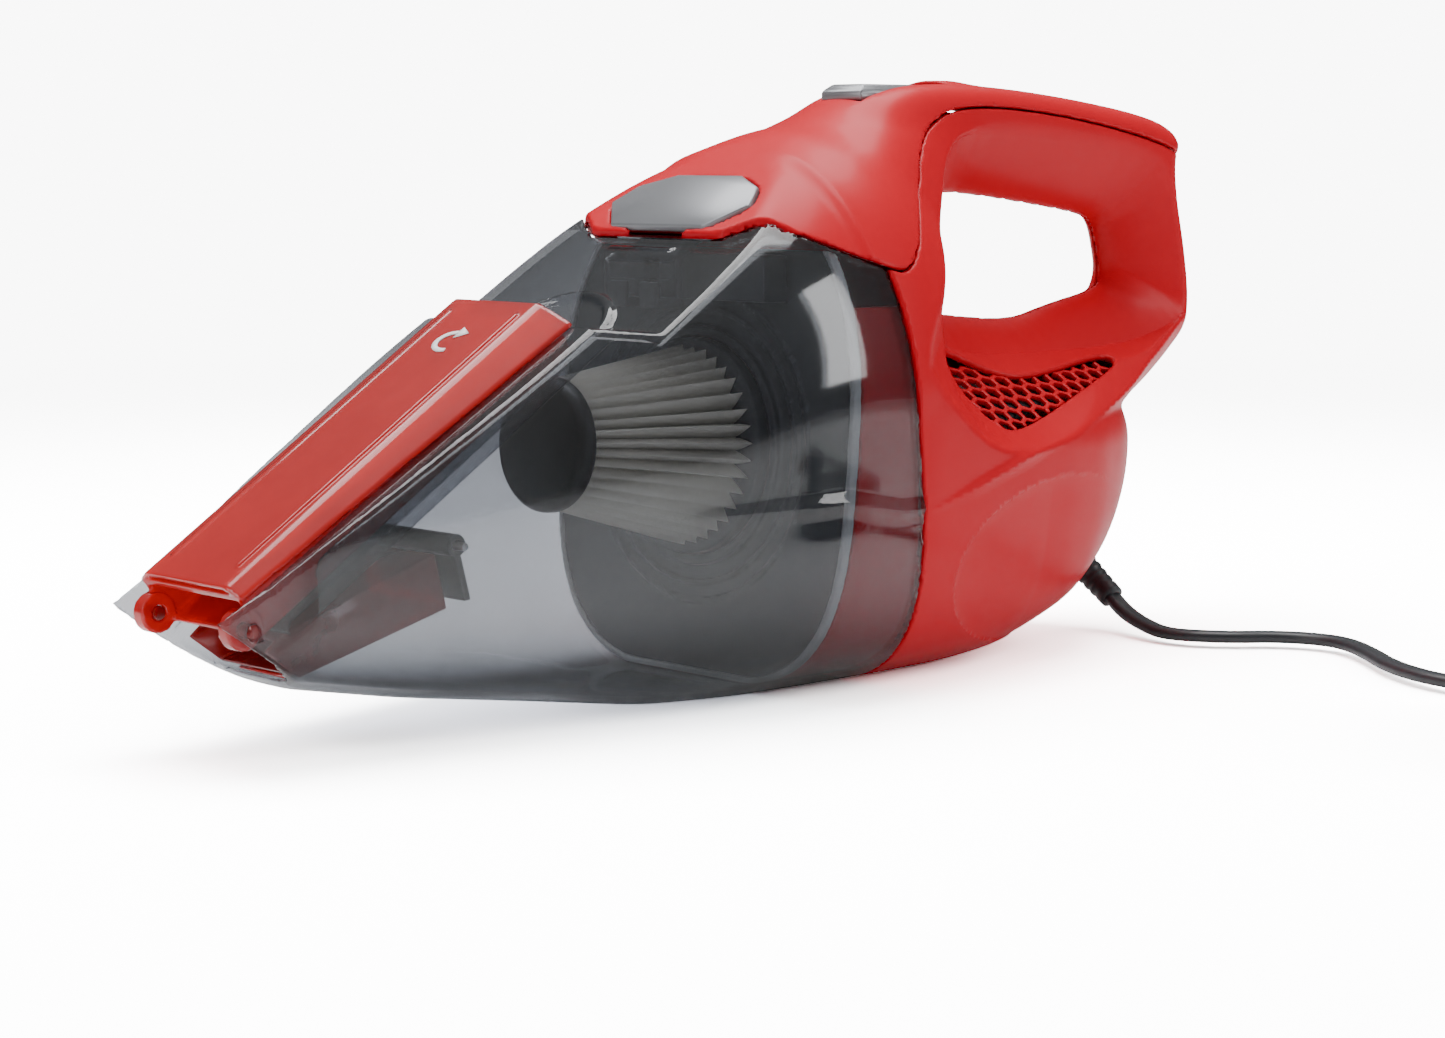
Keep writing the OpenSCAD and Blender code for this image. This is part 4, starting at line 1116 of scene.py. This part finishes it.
def make_tool():
    """Flip-out crevice tool."""
    length = in_mm("tool_length")

    def field(s, y, n):
        return tool_field(s, y, n, length)

    tool = field_mesh("clear_red_tool", field, (-10, -31, -20), (length + 2.4, 31, 3), 0.9, out_of_slope)
    fit(tool, "tool", "clear_red", "crevice_tool", material=material("clear_red"))
    arrow = flip_arrow()
    fit(arrow, "tool", "silver_plastic", material=material("white_mark"))


def flip_arrow():
    """Small curved arrow printed near the tool's tip."""
    points = []
    for i in range(13):
        a = math.radians(200 - 200 * i / 12)
        for r in (3.4, 5.0):
            points.append((108 + r * math.cos(a), r * math.sin(a) * 1.3, 0.12))
    faces = [(2 * i, 2 * i + 1, 2 * i + 3, 2 * i + 2) for i in range(12)]
    tip = len(points)
    points += [(108 + 1.6, 0.3, 0.12), (108 + 6.8, 0.3, 0.12), (108 + 4.2, -4.4, 0.12)]
    faces.append((tip, tip + 1, tip + 2))
    p, _ = out_of_slope(np.array(points), np.zeros((len(points), 3)))
    made = mesh_object("flip_arrow_mark", p, faces)
    made.modifiers.new("Thick", "SOLIDIFY").thickness = 0.0002
    apply_modifiers(made)
    return made


def make_filter():
    """Pleated filter with its cap, core, flange and seal."""
    pleats = filter_paper(sizes().pleats)
    fit(pleats, "filter", "pleats", "filter_pleats", material=material("pleats"))
    for node, key, width in (
        ("filter_end_cap", "dark_cap", 1.2),
        ("filter_core", "charcoal", 0.3),
        ("filter_flange", "charcoal", 0.8),
        ("filter_seal", "black_rubber", 0.3),
    ):
        piece = bevelled(node, width)
        slot = "charcoal" if key == "dark_cap" else key
        fit(piece, "filter", slot, node, material=material(key))


def filter_paper(pleats, rows=14, per_pleat=8):
    """Folded paper in a cone: sharp outer and inner folds, each pleat a little uneven."""
    rng = np.random.default_rng(7)
    lean = rng.normal(0, 0.10, pleats)
    depth = rng.normal(1, 0.03, pleats)
    points = []
    for i in range(rows):
        t = i / (rows - 1)
        d = -57.9 + 51.6 * t
        outer, inner = 19.2 + 11.2 * t, 14.4 + 8.6 * t
        for j in range(pleats * per_pleat):
            k, part = divmod(j, per_pleat)
            fold = (1 - abs(2 * part / per_pleat - 1)) ** 0.92
            r = inner + (outer - inner) * fold * depth[k]
            a = 2 * math.pi * (k + part / per_pleat + lean[k] * fold * math.sin(math.pi * t) * 0.5) / pleats
            points.append((d, r * math.cos(a), r * math.sin(a)))
    around = pleats * per_pleat
    faces = ring_faces(rows, around)
    made = mesh_object("pleated_paper", on_axis(points), faces)
    made.modifiers.new("Thick", "SOLIDIFY").thickness = 0.0006
    apply_modifiers(made)
    made.data.set_sharp_from_angle(angle=math.radians(50))
    return made


def make_bulkhead():
    """Front wall of the housings and the seal round it."""
    s = shapes()
    wall = field_mesh("bulkhead_wall", s.bulkhead, (-26, -70, -1), (-4, 70, 142), 1.1)
    fit(wall, "housing", "charcoal", "bulkhead", material=material("charcoal"))
    seal = field_mesh("bulkhead_gasket", s.cup_seal, (-26, -72, -1), (-4, 72, 142), 0.9)
    fit(seal, "housing", "soft_grey", "cup_seal", material=material("soft_grey"))


INNER = (
    ("fan_shroud", "housing", "charcoal", 0.8), ("motor_can", "housing", "steel", 0.5),
    ("stator_core", "housing", "lamination", 0.3), ("field_windings", "housing", "copper", 1.2),
    ("front_bearing", "housing", "steel", 0.3), ("rear_bearing", "housing", "steel", 0.3),
    ("front_motor_mount", "housing", "black_rubber", 0.4),
    ("rear_motor_mount", "housing", "black_rubber", 0.4),
    ("brush_holders", "housing", "bright_metal", 0.2), ("carbon_brushes", "housing", "carbon", 0.2),
    ("brush_springs", "housing", "steel", 0.2), ("switch_module", "housing", "charcoal", 0.4),
    ("cord_clamp", "housing", "charcoal", 0.5), ("housing_screws", "housing", "steel", 0.2),
    ("motor_shaft", "rotor", "steel", 0.3), ("armature", "rotor", "lamination", 0.3),
    ("commutator", "rotor", "copper", 0.2), ("fan_impeller", "rotor", "silver_plastic", 0.15),
)


def make_inside():
    """Motor, fan, switch and fasteners, finished from their CAD nodes."""
    for node, body, key, width in INNER:
        piece = bevelled(node, width, 2)
        fit(piece, body, key, node, material=material(key))
    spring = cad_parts["release_spring"]
    spring.data.materials.clear()
    spring.data.materials.append(material("steel"))


def add_area(name, place, target, size, power_w):
    """Rectangular lamp aimed at a target; places in metres."""
    light = bpy.data.lights.new(name, "AREA")
    light.shape = "RECTANGLE"
    light.size, light.size_y = size
    light.energy = power_w
    made = bpy.data.objects.new(name, light)
    bpy.context.scene.collection.objects.link(made)
    made.location = place
    made.rotation_euler = (Vector(target) - Vector(place)).to_track_quat("-Z", "Y").to_euler()


def make_camera():
    """Camera in front of the nose on the left, a little above the floor."""
    camera = bpy.data.cameras.new("camera")
    camera.lens = 75.2
    camera.sensor_width = 36
    camera.clip_start = 0.01
    made = bpy.data.objects.new("camera", camera)
    bpy.context.scene.collection.objects.link(made)
    made.location = EYE
    made.rotation_euler = LOOK.to_track_quat("-Z", "Y").to_euler()
    bpy.context.scene.camera = made


def seen_directly(tree):
    """1 for a camera ray that hasn't passed through anything see-through, else 0."""
    path = tree.nodes.new("ShaderNodeLightPath")
    clear = tree.nodes.new("ShaderNodeMath")
    clear.operation = "LESS_THAN"
    clear.inputs[1].default_value = 0.5
    tree.links.new(path.outputs["Transparent Depth"], clear.inputs[0])
    both = tree.nodes.new("ShaderNodeMath")
    both.operation = "MULTIPLY"
    tree.links.new(path.outputs["Is Camera Ray"], both.inputs[0])
    tree.links.new(clear.outputs[0], both.inputs[1])
    return both.outputs[0]


def floor_material():
    """Pale floor that runs out into the white surroundings without a horizon."""
    n = Nodes("studio_floor")
    sees = seen_directly(n.tree)
    colour = n.mix(n.noise(3.0, 2.0), (0.82, 0.82, 0.82, 1), (0.86, 0.86, 0.86, 1))
    near = n.add("ShaderNodeBsdfDiffuse")
    n.give(near.inputs["Color"], n.mix(sees, colour, (FLOOR_SEEN, FLOOR_SEEN, FLOOR_SEEN, 1)))
    far = n.add("ShaderNodeEmission", Strength=BACKDROP)
    away = n.add("ShaderNodeVectorMath", operation="LENGTH")
    n.give(away.inputs[0], n.place())
    fade = n.add("ShaderNodeMapRange", interpolation_type="SMOOTHSTEP")
    n.give(fade.inputs["Value"], away.outputs["Value"])
    fade.inputs["From Min"].default_value = 0.5
    fade.inputs["From Max"].default_value = 1.6
    share = n.add("ShaderNodeMath", operation="MULTIPLY")
    n.give(share.inputs[0], fade.outputs["Result"])
    n.give(share.inputs[1], sees)
    both = n.add("ShaderNodeMixShader")
    n.give(both.inputs[0], share.outputs[0])
    n.give(both.inputs[1], near.outputs[0])
    n.give(both.inputs[2], far.outputs[0])
    return n.finish(both.outputs[0])


def studio_world():
    """White to the camera, dim at the sides and brighter overhead to everything else."""
    world = bpy.data.worlds.new("studio")
    world.use_nodes = True
    tree = world.node_tree
    background = tree.nodes["Background"]
    background.inputs["Color"].default_value = (1, 1, 1, 1)
    place = tree.nodes.new("ShaderNodeTexCoord")
    split = tree.nodes.new("ShaderNodeSeparateXYZ")
    height = tree.nodes.new("ShaderNodeMapRange")
    height.inputs["From Min"].default_value = 0.05
    height.inputs["From Max"].default_value = 0.9
    height.inputs["To Min"].default_value = 0.16
    height.inputs["To Max"].default_value = 0.9
    path = tree.nodes.new("ShaderNodeLightPath")
    dim = tree.nodes.new("ShaderNodeMix")
    dim.data_type = "FLOAT"
    pick = tree.nodes.new("ShaderNodeMix")
    pick.data_type = "FLOAT"
    low = tree.nodes.new("ShaderNodeMath")
    low.operation = "MULTIPLY"
    low.inputs[1].default_value = 0.4
    tree.links.new(place.outputs["Generated"], split.inputs[0])
    tree.links.new(split.outputs["Z"], height.inputs["Value"])
    tree.links.new(height.outputs["Result"], low.inputs[0])
    tree.links.new(path.outputs["Is Glossy Ray"], dim.inputs[0])
    tree.links.new(height.outputs["Result"], dim.inputs[2])
    tree.links.new(low.outputs[0], dim.inputs[3])
    tree.links.new(seen_directly(tree), pick.inputs[0])
    tree.links.new(dim.outputs[0], pick.inputs[2])
    pick.inputs[3].default_value = BACKDROP
    tree.links.new(pick.outputs[0], background.inputs["Strength"])
    bpy.context.scene.world = world


def make_stage():
    """Pale floor, white surroundings and soft studio lamps."""
    corners = [(-4000, -4000, 0), (4000, -4000, 0), (4000, 4000, 0), (-4000, 4000, 0)]
    floor = mesh_object("floor", corners, [(0, 1, 2, 3)])
    floor.location.z = -0.0004
    floor.data.materials.append(floor_material())
    studio_world()
    add_area("overhead", (0.15, 0.25, 1.1), (0.0, 0.0, 0.1), (1.1, 0.8), sizes().lamp_power)
    side_power = sizes().lamp_power * 7 / 22
    add_area("left", (-1.3, 0.1, 0.6), (-0.05, 0, 0.08), (0.3, 1.2), side_power)
    add_area("right", (0.75, -1.1, 0.7), (0.1, 0, 0.08), (0.25, 1.0), side_power)


# ---------------------------------------------------------------- add-on


class VacuumSizes(bpy.types.PropertyGroup):
    """Sizes of the moulded pieces, the filter, the cord and the stage."""

    wall: bpy.props.FloatProperty(
        name="Housing wall", description="Thickness of the red housings", default=0.0025,
        min=0.0015, max=0.004, precision=4, unit="LENGTH")
    cup_wall: bpy.props.FloatProperty(
        name="Cup wall", description="Thickness of the see-through dust cup", default=0.0025,
        min=0.0015, max=0.004, precision=4, unit="LENGTH")
    tool_length: bpy.props.FloatProperty(
        name="Crevice tool", description="Length of the flip-out crevice tool", default=0.1286,
        min=0.11, max=0.13, precision=4, unit="LENGTH")
    pleats: bpy.props.IntProperty(
        name="Pleats", description="Number of folds in the filter paper", default=36, min=20, max=60)
    cord_width: bpy.props.FloatProperty(
        name="Cord width", description="Width of the flat mains cord", default=0.0066,
        min=0.005, max=0.0066, precision=4, unit="LENGTH")
    cord_thickness: bpy.props.FloatProperty(
        name="Cord thickness", description="Thickness of the flat mains cord", default=0.0042,
        min=0.003, max=0.0066, precision=4, unit="LENGTH")
    coil_radius: bpy.props.FloatProperty(
        name="Coil radius", description="Radius at the middle of the coiled turns", default=0.04,
        min=0.036, max=0.044, precision=3, unit="LENGTH")
    coil_layers: bpy.props.IntProperty(
        name="Coil layers", description="Layers of turns in the coiled cord", default=6, min=4, max=6)
    lamp_power: bpy.props.FloatProperty(
        name="Lamp", description="Power of the overhead lamp; the side lamps follow it", default=22,
        min=0, max=200, unit="POWER")


class VacuumColours(bpy.types.PropertyGroup):
    """Colours of the plastics, rubbers and filter paper."""

    shell: bpy.props.FloatVectorProperty(
        name="Housings", description="Colour of the housings and cover", default=(0.50, 0.0012, 0.010),
        min=0, max=1, subtype="COLOR")
    cup_tint: bpy.props.FloatVectorProperty(
        name="Cup tint", description="Light that one wall of the dust cup lets through",
        default=(0.77, 0.78, 0.80), min=0, max=1, subtype="COLOR")
    tool_tint: bpy.props.FloatVectorProperty(
        name="Tool tint", description="Light that one wall of the crevice tool lets through",
        default=(0.93, 0.10, 0.08), min=0, max=1, subtype="COLOR")
    inner: bpy.props.FloatVectorProperty(
        name="Inner plastic", description="Colour of the bulkhead and inner mouldings",
        default=(0.050, 0.054, 0.064), min=0, max=1, subtype="COLOR")
    button: bpy.props.FloatVectorProperty(
        name="Button", description="Colour of the release button, the slider and the fan",
        default=(0.22, 0.225, 0.24), min=0, max=1, subtype="COLOR")
    seal: bpy.props.FloatVectorProperty(
        name="Seal", description="Colour of the gasket between cup and housings",
        default=(0.42, 0.43, 0.43), min=0, max=1, subtype="COLOR")
    cord: bpy.props.FloatVectorProperty(
        name="Cord", description="Colour of the cord and the black rubber pieces",
        default=(0.012, 0.014, 0.017), min=0, max=1, subtype="COLOR")
    paper: bpy.props.FloatVectorProperty(
        name="Filter paper", description="Colour of the clean filter paper",
        default=(0.80, 0.77, 0.70), min=0, max=1, subtype="COLOR")


class VACUUM_OT_camera(bpy.types.Operator):
    """Add the camera"""

    bl_idname = "vacuum.camera"
    bl_label = "Camera"

    def execute(self, context):
        make_camera()
        return {"FINISHED"}


class VACUUM_OT_cord(bpy.types.Operator):
    """Build the mains cord, its strain relief, tie and plug"""

    bl_idname = "vacuum.cord"
    bl_label = "Cord"

    def execute(self, context):
        make_cord()
        return {"FINISHED"}


class VACUUM_OT_housings(bpy.types.Operator):
    """Build both housing halves"""

    bl_idname = "vacuum.housings"
    bl_label = "Housings"

    def execute(self, context):
        make_housings()
        return {"FINISHED"}


class VACUUM_OT_grilles(bpy.types.Operator):
    """Build the exhaust grilles and the foam behind them"""

    bl_idname = "vacuum.grilles"
    bl_label = "Grilles"

    def execute(self, context):
        make_grilles()
        return {"FINISHED"}


class VACUUM_OT_cover(bpy.types.Operator):
    """Build the top cover, the release button and the power slider"""

    bl_idname = "vacuum.cover"
    bl_label = "Cover"

    def execute(self, context):
        make_cover()
        return {"FINISHED"}


class VACUUM_OT_cup(bpy.types.Operator):
    """Build the dust cup and the pieces fixed in it"""

    bl_idname = "vacuum.cup"
    bl_label = "Dust cup"

    def execute(self, context):
        make_cup()
        return {"FINISHED"}


class VACUUM_OT_tool(bpy.types.Operator):
    """Build the flip-out crevice tool"""

    bl_idname = "vacuum.tool"
    bl_label = "Crevice tool"

    def execute(self, context):
        make_tool()
        return {"FINISHED"}


class VACUUM_OT_filter(bpy.types.Operator):
    """Build the pleated filter"""

    bl_idname = "vacuum.filter"
    bl_label = "Filter"

    def execute(self, context):
        make_filter()
        return {"FINISHED"}


class VACUUM_OT_bulkhead(bpy.types.Operator):
    """Build the bulkhead and its gasket"""

    bl_idname = "vacuum.bulkhead"
    bl_label = "Bulkhead"

    def execute(self, context):
        make_bulkhead()
        return {"FINISHED"}


class VACUUM_OT_inside(bpy.types.Operator):
    """Finish the motor, the fan, the switch and the fasteners"""

    bl_idname = "vacuum.inside"
    bl_label = "Inside"

    def execute(self, context):
        make_inside()
        return {"FINISHED"}


class VACUUM_OT_stage(bpy.types.Operator):
    """Add the floor, the surroundings and the lamps"""

    bl_idname = "vacuum.stage"
    bl_label = "Stage"

    def execute(self, context):
        make_stage()
        return {"FINISHED"}


PROPERTY_GROUPS = (VacuumSizes, VacuumColours)
OPERATORS = (
    VACUUM_OT_camera, VACUUM_OT_cord, VACUUM_OT_housings, VACUUM_OT_grilles, VACUUM_OT_cover,
    VACUUM_OT_cup, VACUUM_OT_tool, VACUUM_OT_filter, VACUUM_OT_bulkhead, VACUUM_OT_inside,
    VACUUM_OT_stage,
)


class VACUUM_PT_panel(bpy.types.Panel):
    """Sidebar panel with the sizes, the colours and a button for each step"""

    bl_idname = "VACUUM_PT_panel"
    bl_label = "Handheld vacuum"
    bl_space_type = "VIEW_3D"
    bl_region_type = "UI"
    bl_category = "Vacuum"

    def draw(self, context):
        scene = context.scene
        for settings, group in zip((scene.vacuum_sizes, scene.vacuum_colours), PROPERTY_GROUPS):
            for name in group.__annotations__:
                self.layout.prop(settings, name)
            self.layout.separator()
        for each in OPERATORS:
            self.layout.operator(each.bl_idname)


CLASSES = (*PROPERTY_GROUPS, *OPERATORS, VACUUM_PT_panel)


def register():
    """Adds the add-on's classes and its settings to Blender."""
    for each in CLASSES:
        bpy.utils.register_class(each)
    bpy.types.Scene.vacuum_sizes = bpy.props.PointerProperty(type=VacuumSizes)
    bpy.types.Scene.vacuum_colours = bpy.props.PointerProperty(type=VacuumColours)


def unregister():
    """Takes them out again."""
    del bpy.types.Scene.vacuum_colours
    del bpy.types.Scene.vacuum_sizes
    for each in reversed(CLASSES):
        bpy.utils.unregister_class(each)


def main():
    """Builds everything in order."""
    register()
    bpy.ops.vacuum.camera()
    bpy.ops.vacuum.cord()
    bpy.ops.vacuum.housings()
    bpy.ops.vacuum.grilles()
    bpy.ops.vacuum.cover()
    bpy.ops.vacuum.cup()
    bpy.ops.vacuum.tool()
    bpy.ops.vacuum.filter()
    bpy.ops.vacuum.bulkhead()
    bpy.ops.vacuum.inside()
    bpy.ops.vacuum.stage()


if __name__ == "__main__":
    main()
